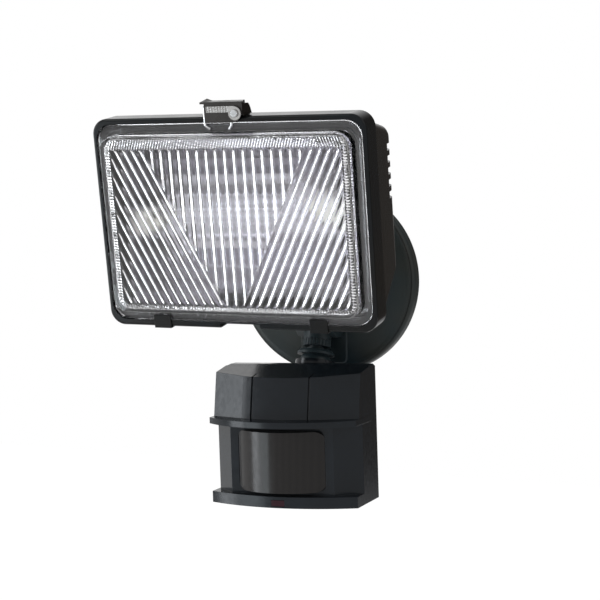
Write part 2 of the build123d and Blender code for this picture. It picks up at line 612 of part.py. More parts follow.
def make_reflector_ends():
    """End plates of the reflector with a window for each lamp holder."""
    ends = []
    upper = [(y, share * REFLECTOR_HALF_H) for y, share in REFLECTOR_FOLDS[::2]]
    for side in (-1, 1):
        x0 = side * (REFLECTOR_HALF_W + 0.05)
        x1 = side * (REFLECTOR_HALF_W + 0.05 + REFLECTOR_T)
        plate = side_profile(upper + [(y, -z) for y, z in upper[::-1]], min(x0, x1), max(x0, x1))
        ends.append(plate - rod_x(BULB_Y, BULB_Z, 3.0, -RIM_HALF_W, RIM_HALF_W))
    return ends


def make_lamp():
    """Double-ended halogen lamp: quartz tube, pinched ends and ceramic caps."""
    tube = rod_x(BULB_Y, BULB_Z, TUBE_R, -TUBE_HALF_L, TUBE_HALF_L)
    tube = fillet(tube.edges().filter_by(GeomType.CIRCLE), 3.0)
    tube += rod_x(BULB_Y, BULB_Z - TUBE_R - 0.6, 1.0, -1.0, 1.0)
    for side in (-1, 1):
        x0, x1 = sorted((side * (TUBE_HALF_L - 2), side * (TUBE_HALF_L + 5)))
        tube += block(x0, x1, BULB_Y - 1.2, BULB_Y + 1.2, BULB_Z - 3.4, BULB_Z + 3.4)
    return tube


def make_lamp_caps():
    """Ceramic caps on the lamp's two ends."""
    caps = []
    for side in (-1, 1):
        x0, x1 = sorted((side * (TUBE_HALF_L + 5), side * LAMP_HALF_L))
        cap = rod_x(BULB_Y, BULB_Z, CAP_R, x0, x1)
        caps.append(cap)
    return caps


def make_holders():
    """Ceramic lamp holders with a socket facing the lamp."""
    holders = []
    for side in (-1, 1):
        inner = LAMP_HALF_L - CAP_IN_HOLDER
        x0, x1 = sorted((side * inner, side * (inner + HOLDER_L)))
        body = block(x0, x1, BULB_Y - HOLDER_W / 2, BULB_Y + HOLDER_W / 2,
                     BULB_Z - HOLDER_W / 2, BULB_Z + HOLDER_W / 2)
        body = fillet(body.edges().filter_by(Axis.X), 3.0)
        socket_end = side * LAMP_HALF_L
        s0, s1 = sorted((side * (LAMP_HALF_L - 5), socket_end))
        body -= rod_x(BULB_Y, BULB_Z, CAP_R + SLIP, s0, s1)
        body -= block(s0, s1, BULB_Y - HOLDER_W, BULB_Y, BULB_Z - CAP_R - SLIP, BULB_Z + CAP_R + SLIP)
        holders.append(body)
    return holders


def make_holder_brackets():
    """Bent steel brackets between each lamp holder and the reflector's back."""
    brackets = []
    for side in (-1, 1):
        xa = side * (LAMP_HALF_L - 1)
        xb = side * (LAMP_HALF_L + 9)
        x0, x1 = sorted((xa, xb))
        sheet = REFLECTOR_DEPTH - REFLECTOR_T
        foot = block(x0, x1, sheet - SHEET_T, sheet - 0.05, -9, 9)
        web = block(x0, x1, BULB_Y + HOLDER_W / 2, sheet - SHEET_T, -3.0, -3.0 + SHEET_T)
        head = block(x0, x1, BULB_Y + HOLDER_W / 2, BULB_Y + HOLDER_W / 2 + SHEET_T, -6, 6)
        brackets.append(foot + web + head)
    return brackets


def make_reflector_posts():
    """Two pillars that carry the reflector from the housing's back wall."""
    back = HEAD_DEPTH - HEAD_REAR_WALL
    return [rod_y(x, 0, POST_R, REFLECTOR_DEPTH, back) for x in (-POST_X, POST_X)]


# ---- glass retainers ------------------------------------------------------------------
def make_lower_tabs():
    """Two bent steel hooks that hold the lower edge of the glass."""
    tabs = []
    y_hook = RIM_FRONT - 0.1
    for side in (-1, 1):
        x0 = side * TAB_X - TAB_W / 2
        x1 = side * TAB_X + TAB_W / 2
        z1 = RIM_BOTTOM - 0.05
        foot = block(x0, x1, y_hook - TAB_T, RIM_BACK - 4.0, z1 - TAB_T, z1)
        lip = block(x0, x1, y_hook - TAB_T, y_hook, z1 - TAB_T, -GLASS_HALF_H + TAB_HOOK)
        tabs.append(foot + lip)
    return tabs


def make_latch_base():
    """Stamped bracket on the rim's top: floor and two cheeks."""
    z0 = RIM_TOP + 0.05
    inner = BARREL_HALF_L + CLEAR
    outer = inner + SHEET_T
    base = block(LATCH_X - outer, LATCH_X + outer, 4.0, RIM_BACK, z0, z0 + SHEET_T)
    for x in (LATCH_X - outer, LATCH_X + inner):
        cheek = rod_x(LATCH_PIVOT_Y, LATCH_PIVOT_Z, BARREL_R, x, x + SHEET_T)
        cheek += block(x, x + SHEET_T, LATCH_PIVOT_Y - BARREL_R, LATCH_PIVOT_Y + BARREL_R,
                       z0, LATCH_PIVOT_Z)
        base += cheek
    return base - rod_x(LATCH_PIVOT_Y, LATCH_PIVOT_Z, 1.0 + RUN, -RIM_HALF_W, RIM_HALF_W)


def make_latch_pin():
    """Pivot pin of the latch, headed at both ends."""
    outer = BARREL_HALF_L + CLEAR + SHEET_T + SLIP
    x0, x1 = LATCH_X - outer, LATCH_X + outer
    pin = rod_x(LATCH_PIVOT_Y, LATCH_PIVOT_Z, 1.0, x0, x1)
    pin += rod_x(LATCH_PIVOT_Y, LATCH_PIVOT_Z, 1.9, x0 - 0.8, x0)
    return pin + rod_x(LATCH_PIVOT_Y, LATCH_PIVOT_Z, 1.9, x1, x1 + 0.8)


def make_latch_lever():
    """Folded steel lever: top with a turned-up lip, front, right flange and hinge barrel."""
    x0, x1 = LATCH_X - LATCH_HALF_W, LATCH_X + LATCH_HALF_W
    front = LATCH_FRONT_BACK - SHEET_T
    ridge = LATCH_TOP + LATCH_FALL
    top = side_profile([(front, ridge), (LATCH_BACK, LATCH_TOP), (LATCH_BACK, LATCH_TOP - SHEET_T),
                        (front, ridge - SHEET_T)], x0, x1)
    lever = top & plan_profile([(x0, front), (x1, front), (x1, front + 2), (x1 - LATCH_CORNER,
                                LATCH_BACK), (x0, LATCH_BACK)], LATCH_TOP - 5, LATCH_TOP + 5)
    face = block(BAIL_LEFT + BAIL_R + 0.2, x1, front, LATCH_FRONT_BACK, LATCH_BOTTOM, LATCH_TOP)
    lever += fillet(face.edges().filter_by(Axis.Y).sort_by(Axis.Z)[:2].sort_by(Axis.X)[-1], 8.0)
    lip_y = LATCH_PIVOT_Y / 2
    lip = side_profile([(front + 0.3, ridge - 0.1), (lip_y, LATCH_TOP + LIP_H), (lip_y + 2, LATCH_TOP),
                        (lip_y, LATCH_TOP - 0.5), (front + 0.3, LATCH_TOP)], x0, x0 + LIP_W)
    lever += lip & front_profile([(x0, LATCH_TOP - 1), (x0, LATCH_TOP + LIP_H),
                                  (x0 + LIP_W, LATCH_TOP)], front, LATCH_BACK)
    flange_low = RIM_TOP + 0.7
    lever += side_profile([(front, LATCH_TOP), (4.0, LATCH_TOP - 1.0), (6.5, LATCH_TOP - 4.0),
                           (8.0, flange_low), (LATCH_FRONT_BACK, flange_low)], x1 - SHEET_T, x1)
    half = BARREL_HALF_L
    lever += rod_x(LATCH_PIVOT_Y, LATCH_PIVOT_Z, BARREL_R, LATCH_X - half, LATCH_X + half)
    lever += block(LATCH_X - half, LATCH_X + half, LATCH_BACK - SHEET_T, LATCH_BACK,
                   LATCH_PIVOT_Z + BARREL_R / 2, LATCH_TOP)
    lever -= rod_x(LATCH_PIVOT_Y, LATCH_PIVOT_Z, 1.0 + RUN, x0 - 1, x1 + 1)
    return lever - rod_y(LATCH_SCREW_X, LATCH_SCREW_Z, LATCH_SCREW_R + SLIP, -8, 0)


def make_latch_grip():
    """Serrated finger strip on the lever's front, with a round end about its screw."""
    back = LATCH_FRONT_BACK - SHEET_T - 0.02
    front = back - SHEET_T
    strip = block(GRIP_LEFT, LATCH_SCREW_X, front, back, GRIP_LOW, GRIP_HIGH)
    strip += rod_y(LATCH_SCREW_X, LATCH_SCREW_Z, LATCH_LOBE_R, front, back)
    pitch = (LATCH_SCREW_X - LATCH_LOBE_R - GRIP_LEFT) / GRIP_TEETH
    for i in range(GRIP_TEETH):
        x = GRIP_LEFT + (i + 0.5) * pitch
        strip -= rod_z(x, front - 0.2, pitch * 0.32, GRIP_LOW - 1, GRIP_HIGH + 1)
    return strip - rod_y(LATCH_SCREW_X, LATCH_SCREW_Z, LATCH_SCREW_R + SLIP, -8, 0)


def make_latch_screw():
    """Slotted screw that holds the strip on the lever."""
    seat = LATCH_FRONT_BACK - 2 * SHEET_T - 0.04
    return pan_head_screw(LATCH_SCREW_X, LATCH_SCREW_Z, 2.3, 1.3, LATCH_SCREW_R, 4.2, seat)


def make_latch_bail():
    """Wire spring in the lever: two legs whose turned-in tips bear on the glass flange."""
    y = LATCH_WIRE_Y
    y_tip = -1.5 - 0.1 - BAIL_R
    top_z = LATCH_TOP - SHEET_T - BAIL_R - 0.05
    path = FilletPolyline((BAIL_LEFT + 2.6, y_tip, BAIL_TIP), (BAIL_LEFT, y, BAIL_TIP + 2.4),
                          (BAIL_LEFT, y, top_z), (BAIL_LEFT, 4.0, top_z),
                          (BAIL_RIGHT, 4.0, top_z), (BAIL_RIGHT, y, top_z),
                          (BAIL_RIGHT, y, BAIL_TIP + 2.0), (BAIL_RIGHT - 2.0, y_tip, BAIL_TIP),
                          radius=1.3)
    start = Plane(origin=path @ 0, z_dir=path % 0)
    return sweep(start * Circle(BAIL_R), path)


# ---- sensor ball joint ------------------------------------------------------------------
def make_ball_stud():
    """Stem, round flange, neck and ball in one turned piece."""
    stem = Pos(0, 0, (STUD_FLANGE_AT - STEM_IN) / 2) * Cylinder(STEM_R, STUD_FLANGE_AT + STEM_IN)
    flange = Pos(0, 0, STUD_FLANGE_AT + STUD_FLANGE_T / 2) * Cylinder(STUD_FLANGE_R, STUD_FLANGE_T)
    flange = chamfer(flange.edges().filter_by(GeomType.CIRCLE).sort_by(Axis.Z)[0], 1.6)
    neck = Pos(0, 0, BALL_AT - 5) * Cylinder(6.5, 10)
    ball = Pos(0, 0, BALL_AT) * Sphere(BALL_R)
    bore = Pos(0, 0, 4) * Cylinder(2.6, 2 * (STEM_IN + 4.1))
    return stem_plane * (stem + flange + neck + ball - bore)


def make_ring_nut():
    """Knurled lock ring on the stem, under the arm block's boss."""
    z0 = 2.3
    ring = Pos(0, 0, z0 + RING_NUT_T / 2) * Cylinder(RING_NUT_R, RING_NUT_T)
    for i in range(SERRATIONS):
        angle = i * 360 / SERRATIONS
        ring -= Rot(0, 0, angle) * Pos(RING_NUT_R + 0.35, 0, z0 + RING_NUT_T / 2) * Rot(
            0, 0, 45) * Box(1.2, 1.2, RING_NUT_T + 1)
    ring -= Pos(0, 0, z0 + RING_NUT_T / 2) * Cylinder(STEM_R, RING_NUT_T + 1)
    return stem_plane * ring


def socket_space():
    """The cup round the ball, cut off at its rim, in the light's frame."""
    cup = Pos(0, 0, BALL_AT) * Sphere(SOCKET_R)
    cup -= Pos(0, 0, BALL_AT - SOCKET_RIM - 20) * Cylinder(SOCKET_R + 5, 40)
    cup -= Pos(0, 0, BALL_AT) * Sphere(BALL_R + RUN)
    return stem_plane * cup


def sensor_local(shape):
    """Bring a shape from the light's frame into the sensor's own frame."""
    return sensor_frame.inverse() * shape


def plan_outline(half_w, side_d, front_d, rear, facet_x=None, facet_d=None, inset=0.0):
    """Closed wire: straight back and sides, optional facets and a bowed front."""
    w = half_w - inset
    s = side_d - inset * 0.7
    f = front_d - inset
    back = Line((w, -rear), (-w, -rear))
    if facet_x is None:
        left = Line((-w, -rear), (-w, -s))
        right = Line((w, -s), (w, -rear))
        bow = ThreePointArc((-w, -s), (0, -f), (w, -s))
    else:
        k = facet_d - inset
        left = Polyline((-w, -rear), (-w, -s), (-facet_x, -k))
        right = Polyline((facet_x, -k), (w, -s), (w, -rear))
        bow = ThreePointArc((-facet_x, -k), (0, -f), (facet_x, -k))
    return make_face(back + left + bow + right)


def hood_solid(inset):
    """Hood over the visor: bowed and faceted, narrowing to the top, with a sloping top."""
    low_z = VISOR_Z + VISOR_T - 1.0
    top_z = SENSOR_H + 4.0
    share = (top_z - low_z) / (SENSOR_H - 2 - low_z)

    def section(z, side_d):
        front = side_d + HOOD_BOW
        return Plane.XY.offset(z) * plan_outline(SENSOR_HALF_W, side_d, front, SPLIT_D - inset,
                                                 HOOD_FACET_X, front - HOOD_FACET_IN, inset)

    top_side = HOOD_SIDE_D_LOW + (HOOD_SIDE_D_TOP - HOOD_SIDE_D_LOW) * share
    solid = loft([section(low_z - (2.5 if inset else 0), HOOD_SIDE_D_LOW), section(top_z, top_side)],
                 ruled=True)
    return solid - top_cutter(inset)


def top_cutter(inset):
    """Everything above the sloping top face."""
    z0 = SENSOR_H - inset
    drop = tan(radians(HOOD_TOP_SLOPE))
    y_bend = -9.0
    side = SENSOR_HALF_W + 20
    return side_profile([(30, z0), (y_bend, z0), (y_bend - 60, z0 - 60 * drop),
                         (y_bend - 60, z0 + 30), (30, z0 + 30)], -side, side)


def body_solid(inset):
    """Lower body behind the lens."""
    z0 = SHELL_T if inset else 0.0
    w = SENSOR_HALF_W - inset
    flat = LENS_HALF_W + 5 - inset * 0.6
    s = BODY_SIDE_D - inset * 0.7
    f = BODY_FRONT_D - inset
    y0 = -SPLIT_D + inset
    return plan_profile([(-w, y0), (w, y0), (w, -s), (flat, -f), (-flat, -f), (-w, -s)],
                        z0, VISOR_Z + 1)


def lens_arc_face(grow, depth_in):
    """Plan of the lens: an arc-fronted segment."""
    w = LENS_HALF_W + grow
    f = BODY_FRONT_D - 1.0
    arc = ThreePointArc((-w, -f), (0, -f - LENS_BULGE - grow), (w, -f))
    back = Polyline((w, -f), (w, -f + depth_in), (-w, -f + depth_in), (-w, -f))
    return make_face(arc + back)


def make_front_shell():
    """Front half of the sensor: bowed base, lens body, visor and grooved hood."""
    base = extrude(plan_outline(SENSOR_HALF_W, SENSOR_SIDE_D, SENSOR_SIDE_D + BASE_BOW, SPLIT_D),
                   BASE_H)
    visor = extrude(Plane.XY.offset(VISOR_Z) * plan_outline(
        SENSOR_HALF_W + 0.4, SENSOR_SIDE_D, SENSOR_SIDE_D + VISOR_BOW, SPLIT_D), VISOR_T)
    solid = base + body_solid(0) + visor + hood_solid(0)
    hollow = body_solid(SHELL_T) + hood_solid(SHELL_T)
    solid -= hollow
    window = extrude(Plane.XY.offset(LENS_LOW) * lens_arc_face(SLIP, 8), LENS_HIGH - LENS_LOW)
    window = fillet(window.edges().filter_by(Axis.Y), LENS_CORNER_R)
    solid -= window
    for side in (-1, 1):
        x = side * HOOD_GROOVE_X
        groove = block(x - 0.6, x + 0.6, -60, -HOOD_SIDE_D_TOP - 3, VISOR_Z + VISOR_T, SENSOR_H)
        solid -= groove - hood_solid(0.9)
    solid -= block(LED_X - LED_W / 2 - SLIP, LED_X + LED_W / 2 + SLIP, -60, -LED_BACK + 6, 1.0, 5.2)
    solid -= block(LED_X - LED_W, LED_X + LED_W, -LED_BACK + 0.1, -LED_BACK + 4, SHELL_T, BASE_H - 1.2)
    solid -= rod_z(DIAL_X, DIAL_Y, DIAL_R + SLIP, -1, SHELL_T + 1)
    solid -= block(SWITCH_X - SWITCH_W / 2 - SLIP, SWITCH_X + SWITCH_TRAVEL + SWITCH_W / 2 + SLIP,
                   DIAL_Y - 2.5 - SLIP, DIAL_Y + 2.5 + SLIP, -1, SHELL_T + 1)
    solid -= block(-SENSOR_HALF_W - 1, SENSOR_HALF_W + 1, -SPLIT_D - SEAM, 5, -5, SENSOR_H + 5)
    return solid


def make_rear_shell():
    """Rear half of the sensor: tray with screw posts, gusset and half of the ball cup."""
    w = SENSOR_HALF_W
    tray = block(-w, w, -SPLIT_D, 0, 0, SENSOR_H)
    tray = chamfer(tray.edges().filter_by(Axis.Y).sort_by(Axis.Z)[-2:], 1.5)
    tray = chamfer(tray.faces().sort_by(Axis.Y)[-1].edges(), 1.2)
    tray -= top_cutter(0)
    inner = block(-w + SHELL_T, w - SHELL_T, -SPLIT_D - 1, -SHELL_T, SHELL_T, SENSOR_H - SHELL_T)
    tray -= inner
    for x, z in SHELL_SCREWS:
        post = rod_y(x, z, 3.6, -SPLIT_D + SEAM, -1)
        tray += post
        tray -= rod_y(x, z, 1.5, -SPLIT_D - 1, 1)
        tray -= rod_y(x, z, 2.7, -1.9, 1)
    by, bz = SENSOR_BALL_Y, SENSOR_BALL_Z
    gusset = side_profile([(-1, bz - 2), (by - SOCKET_R + 3, bz - 4), (by - 2, bz - SOCKET_R + 1),
                           (by - 2, bz - SOCKET_R - 6), (-1, bz - 34)], -7, 7)
    ball_room = Pos(0, by, bz) * Sphere(SOCKET_R - 1)
    clearance = sensor_local(stem_plane * (Pos(0, 0, BALL_AT - SOCKET_RIM - 20)
                                           * Cylinder(SOCKET_R + 6, 40)))
    cup = sensor_local(socket_space())
    fixed = cup & block(-20, SOCKET_SPLIT_X - SEAM, by - 20, by + 20, bz - 20, bz + 20)
    front_part = cup & block(-20, 20, by - 20, by - SOCKET_R * 0.55, bz - 20, bz + 20)
    solid = tray + (gusset - ball_room - clearance) + fixed + front_part
    ear = side_profile([(by - 3, bz - SOCKET_R + 1), (by + 8.5, bz - SOCKET_R + 3),
                        (by + 8.5, bz - SOCKET_R - 5), (by - 3, bz - SOCKET_R - 6)],
                       -7, SOCKET_SPLIT_X - SEAM)
    solid += ear - ball_room
    solid -= clamp_half_space() & block(SOCKET_SPLIT_X - SEAM, 30, by - SOCKET_R * 0.55 - 0.3,
                                        by + 30, bz - 40, bz + 30)
    solid -= rod_x(CLAMP_Y, CLAMP_Z, CLAMP_SCREW_R + CLEAR, -20, 20)
    return solid


def clamp_half_space():
    """Room kept free for the clamp half of the cup."""
    by, bz = SENSOR_BALL_Y, SENSOR_BALL_Z
    return Pos(0, by, bz) * Sphere(SOCKET_R + 0.4)


def make_socket_clamp():
    """Loose half of the cup with the ear that the clamp screw pulls on."""
    by, bz = SENSOR_BALL_Y, SENSOR_BALL_Z
    cup = sensor_local(socket_space())
    half = cup & block(SOCKET_SPLIT_X, 20, by - SOCKET_R * 0.55, by + 20, bz - 20, bz + 20)
    ear = side_profile([(by + 1, bz - SOCKET_R + 1), (by + 8.5, bz - SOCKET_R + 3),
                        (by + 8.5, bz - SOCKET_R - 5), (by + 1, bz - SOCKET_R - 6)],
                       SOCKET_SPLIT_X, 7.5)
    gusset_room = block(-1, 7.3, -5, by + 0.4, bz - 60, bz - SOCKET_R + 1.4)
    ball_room = Pos(0, by, bz) * Sphere(SOCKET_R - 1)
    half += ear - ball_room
    half -= gusset_room
    return half - rod_x(CLAMP_Y, CLAMP_Z, CLAMP_SCREW_R + CLEAR, -20, 20)


def make_clamp_screw():
    """Screw that squeezes the cup on the ball."""
    screw = pan_head_screw(0, 0, 3.6, 2.4, CLAMP_SCREW_R, 19.0, 0)
    return Pos(7.5, CLAMP_Y, CLAMP_Z) * Rot(0, 0, 90) * screw


def make_clamp_nut():
    """Hexagonal nut on the clamp screw."""
    plane = Plane(origin=(-7.0, CLAMP_Y, CLAMP_Z), x_dir=(0, 1, 0), z_dir=(-1, 0, 0))
    nut = extrude(plane * RegularPolygon(3.7, 6), 2.8)
    return nut - rod_x(CLAMP_Y, CLAMP_Z, CLAMP_SCREW_R, -12, 0)


# ---- sensor's own pieces ------------------------------------------------------------------
def make_sensor_lens():
    """Curved window with a flange inside the shell and upright lens segments behind."""
    outer = extrude(Plane.XY.offset(LENS_LOW) * lens_arc_face(0, 4), LENS_HIGH - LENS_LOW)
    outer = fillet(outer.edges().filter_by(Axis.Y), LENS_CORNER_R - SLIP)
    inner = extrude(Plane.XY.offset(LENS_LOW + LENS_T) * lens_arc_face(-LENS_T, 6),
                    LENS_HIGH - LENS_LOW - 2 * LENS_T)
    lens = outer - inner
    y0 = -BODY_FRONT_D + SHELL_T + 0.05
    flange = block(-LENS_HALF_W - 3, LENS_HALF_W + 3, y0, y0 + 1.0, LENS_LOW - 2.5, LENS_HIGH + 2.0)
    hole = block(-LENS_HALF_W + LENS_T, LENS_HALF_W - LENS_T, y0 - 1, y0 + 2,
                 LENS_LOW + LENS_T, LENS_HIGH - LENS_T)
    lens = lens & block(-60, 60, -80, y0 + 1.0, 0, 60)
    return lens + (flange - hole)


def make_led_window():
    """Small dark red window on the base's front."""
    front = extrude(plan_outline(SENSOR_HALF_W, SENSOR_SIDE_D, SENSOR_SIDE_D + BASE_BOW, SPLIT_D),
                    BASE_H)
    room = block(LED_X - LED_W / 2, LED_X + LED_W / 2, -60, -LED_BACK, 1.2, 5.0)
    return front & room


def make_circuit_board():
    """Upright board on the rear shell's posts, with a notch for the cup's gusset screw."""
    back = -SPLIT_D - CLEAR
    board = block(-BOARD_HALF_W, BOARD_HALF_W, back - BOARD_T, back, BOARD_LOW, BOARD_HIGH)
    for x, z in BOARD_SCREWS:
        board -= rod_y(x, z, 1.6, -30, 0)
    return board


def make_board_posts():
    """Moulded pillars and screws that carry the board."""
    posts = []
    back = -SPLIT_D - CLEAR
    for x, z in BOARD_SCREWS:
        post = rod_y(x, z, 3.2, back, -SHELL_T)
        pin = rod_y(x, z, 1.5, back - BOARD_T - 1.5, back)
        head = rod_y(x, z, 2.8, back - BOARD_T - 1.5, back - BOARD_T)
        posts.append(post + pin + head)
    return posts


def make_board_parts():
    """Relay, capacitor, transformer block and connector on the board."""
    y = -SPLIT_D - CLEAR - BOARD_T
    relay = block(-30, -12, y - 15, y, 54, 74)
    relay = fillet(relay.edges().filter_by(Axis.Y), 1.0)
    capacitor = rod_y(4, 64, 6.0, y - 16, y)
    capacitor = fillet(capacitor.faces().sort_by(Axis.Y)[0].edges(), 0.8)
    coil = block(14, 30, y - 12, y, 56, 70)
    dial_pot = block(DIAL_X - 6, DIAL_X + 6, -31, y, 6.5, 12.5) + block(
        DIAL_X - 6, DIAL_X + 6, y - 1, y, 12, 14)
    switch_case = block(SWITCH_X - 6, SWITCH_X + SWITCH_TRAVEL + 6, -29.5, y, 6.5, 12.5) + block(
        SWITCH_X - 6, SWITCH_X + 15, y - 1, y, 12, 14)
    return [relay, capacitor, coil, dial_pot, switch_case]


def make_heat_sensor():
    """Canned heat sensor that looks out through the lens, on its stand."""
    y = -SPLIT_D - CLEAR - BOARD_T
    stand = block(-6, 6, y - 8, y, 24, 36)
    can = rod_y(0, 30, 4.6, y - 12, y - 8)
    brim = rod_y(0, 30, 5.0, y - 8.8, y - 8)
    return stand + can + brim


def make_photocell():
    """Light cell beside the heat sensor."""
    y = -SPLIT_D - CLEAR - BOARD_T
    return rod_y(20, 30, 2.6, y - 9, y) + rod_y(20, 30, 3.0, y - 6, y - 4.5)


def make_range_dial():
    """Slotted dial in the base, on a shaft up to its control."""
    dial = rod_z(DIAL_X, DIAL_Y, DIAL_R, 0.3, 2.0 + SHELL_T)
    dial -= block(DIAL_X - 5, DIAL_X + 5, DIAL_Y - 0.7, DIAL_Y + 0.7, 0, 1.5)
    return dial + rod_z(DIAL_X, DIAL_Y, 2.2, 2.0, 6.3)


def make_time_switch():
    """Slide knob of the on-time switch."""
    knob = block(SWITCH_X - SWITCH_W / 2, SWITCH_X + SWITCH_W / 2, DIAL_Y - 2.5, DIAL_Y + 2.5,
                 0.3, 3.2)
    return knob + block(SWITCH_X - 1.2, SWITCH_X + 1.2, DIAL_Y - 1.5, DIAL_Y + 1.5, 3.0, 6.3)


def make_shell_screws():
    """Four screws from the back that join the sensor's shells."""
    screws = []
    for x, z in SHELL_SCREWS:
        head = rod_y(x, z, 2.5, -1.9, -0.4)
        screws.append(head + rod_y(x, z, 1.4, -SPLIT_D - 7, -1.9))
    return screws


def make_front_bosses():
    """Blind bosses in the front shell that the shell screws bite into."""
    bosses = None
    for x, z in SHELL_SCREWS:
        boss = rod_y(x, z, 3.4, -SPLIT_D - 8, -SPLIT_D - SEAM)
        boss += block(min(x, x * 1.13), max(x, x * 1.13), -SPLIT_D - 8, -SPLIT_D - SEAM,
                      z - 1.2, z + 1.2)
        boss -= rod_y(x, z, 1.4, -SPLIT_D - 7.2, 0)
        bosses = boss if bosses is None else bosses + boss
    return bosses


def build():
    """Make every piece and write it."""
    save("canopy", make_canopy())
    save("canopy_gasket", make_gasket())
    save("mounting_strap", make_strap())
    save("centre_screw", make_centre_screw())
    save("centre_screw_washer", make_centre_washer())
    save("arm_block", make_arm_block())
    save("arm_block_screws", make_arm_screws())
    save("lamp_neck", make_neck())
    save("swivel_washer", make_swivel_washer())
    save("swivel_nut", make_swivel_nut())
    save("tilt_bolt", make_tilt_bolt())
    save("wing_nut", make_wing_nut())
    save("lamp_housing", make_housing(), lamp_frame)
    save("lamp_gasket", make_lamp_gasket(), lamp_frame)
    save("glass_lens", make_glass(), lamp_frame)
    save("reflector", make_reflector(), lamp_frame)
    save("reflector_ends", make_reflector_ends(), lamp_frame)
    save("reflector_posts", make_reflector_posts(), lamp_frame)
    save("halogen_lamp", make_lamp(), lamp_frame)
    save("lamp_caps", make_lamp_caps(), lamp_frame)
    save("lamp_holders", make_holders(), lamp_frame)
    save("holder_brackets", make_holder_brackets(), lamp_frame)
    save("lower_tabs", make_lower_tabs(), lamp_frame)
    save("latch_base", make_latch_base(), lamp_frame)
    save("latch_grip", make_latch_grip(), lamp_frame)
    save("latch_pin", make_latch_pin(), lamp_frame)
    save("latch_lever", make_latch_lever(), lamp_frame)
    save("latch_bail", make_latch_bail(), lamp_frame)
    save("latch_screw", make_latch_screw(), lamp_frame)
    save("ball_stud", make_ball_stud())
    save("ring_nut", make_ring_nut())
    save("sensor_rear_shell", make_rear_shell(), sensor_frame)
    save("socket_clamp", make_socket_clamp(), sensor_frame)
    save("clamp_screw", make_clamp_screw(), sensor_frame)
    save("clamp_nut", make_clamp_nut(), sensor_frame)
    save("sensor_front_shell", make_front_shell() + make_front_bosses(), sensor_frame)
    save("sensor_lens", make_sensor_lens(), sensor_frame)
    save("led_window", make_led_window(), sensor_frame)
    save("circuit_board", make_circuit_board(), sensor_frame)
    save("board_posts", make_board_posts(), sensor_frame)
    save("board_components", make_board_parts(), sensor_frame)
    save("heat_sensor", make_heat_sensor(), sensor_frame)
    save("photocell", make_photocell(), sensor_frame)
    save("range_dial", make_range_dial(), sensor_frame)
    save("time_switch", make_time_switch(), sensor_frame)
    save("shell_screws", make_shell_screws(), sensor_frame)


build()
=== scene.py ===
"""Looks for a motion sensor security light: a finned halogen floodlight head with a
pressed, fluted glass, a round wall canopy and a motion sensor on a ball joint.

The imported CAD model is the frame. Everything here is in metres in that frame: the wall
is the plane Y = 0, the light faces -Y, +Z is up. Operators build one piece or finish
one group of pieces each, and the panel lists them in the order in which they run.
"""

import math

import bmesh
import bpy
import numpy as np
from bpy.props import FloatProperty, FloatVectorProperty, PointerProperty
from bpy.types import Operator, Panel, PropertyGroup
from mathutils import Matrix, Vector


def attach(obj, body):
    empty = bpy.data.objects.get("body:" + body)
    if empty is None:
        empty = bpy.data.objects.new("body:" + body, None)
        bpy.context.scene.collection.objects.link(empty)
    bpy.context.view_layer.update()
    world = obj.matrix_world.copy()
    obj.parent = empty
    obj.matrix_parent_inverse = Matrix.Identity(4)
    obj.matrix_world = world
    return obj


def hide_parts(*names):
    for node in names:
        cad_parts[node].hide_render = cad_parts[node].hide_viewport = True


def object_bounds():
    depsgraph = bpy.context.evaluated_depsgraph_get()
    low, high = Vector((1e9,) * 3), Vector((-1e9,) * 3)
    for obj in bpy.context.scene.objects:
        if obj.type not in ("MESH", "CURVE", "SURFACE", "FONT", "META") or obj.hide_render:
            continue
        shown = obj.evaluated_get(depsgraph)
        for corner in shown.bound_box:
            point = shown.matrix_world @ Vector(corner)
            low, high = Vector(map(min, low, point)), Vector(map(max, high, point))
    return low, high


bl_info = {
    "name": "Motion Sensor Security Light",
    "version": (1, 0, 0),
    "blender": (4, 5, 0),
    "location": "3D View > Sidebar > Security Light",
    "description": "Builds the looks of a floodlight with a motion sensor around its CAD frame",
    "category": "Object",
}

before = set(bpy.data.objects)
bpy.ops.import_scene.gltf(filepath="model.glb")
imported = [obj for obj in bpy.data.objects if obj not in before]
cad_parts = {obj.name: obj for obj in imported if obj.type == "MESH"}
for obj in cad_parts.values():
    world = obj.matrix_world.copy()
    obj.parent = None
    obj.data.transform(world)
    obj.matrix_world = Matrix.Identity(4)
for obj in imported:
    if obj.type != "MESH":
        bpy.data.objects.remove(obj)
CAD_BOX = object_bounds()

MM = 0.001
MICRON = 0.000001
LAMP_FRAME = (Matrix.Translation((0.0, -161.28 * MM, 41.72 * MM))
              @ Matrix.Rotation(math.radians(10.48), 4, "X"))

SENSOR_WIDTH = 36.0           # camera sensor, millimetres
VIEW_REACH = (0.01, 200.0)    # the camera's nearest and farthest sight
FLOOR_HALF = 2.4              # middle of the floor to its edge
WHITE_SHARE, WHITE_GLOW = 0.94, 1.06    # the floor's white background over its shaded colour
CARD_EDGE = (0.6, 0.88)       # cosine off the card's middle where it starts, and where it is full
LAMP_TARGET = (0.0, -0.12, 0.0)
SOFTBOXES = (                 # name, brightness setting, place, size and colour
    ("side_softbox", "side_glow", (-1.55, -0.95, 0.0), (0.5, 1.4), (0.9, 0.95, 1.0)),
    ("top_softbox", "top_glow", (-0.75, -1.15, 1.0), (0.7, 0.4), (0.95, 0.98, 1.0)),
    ("warm_card", "warm_glow", (1.3, -0.2, 0.9), (0.8, 0.8), (1.0, 0.8, 0.6)),
    ("low_softbox", "low_glow", (-0.95, -1.15, -0.4), (0.45, 0.5), (0.85, 0.95, 1.0)),
)

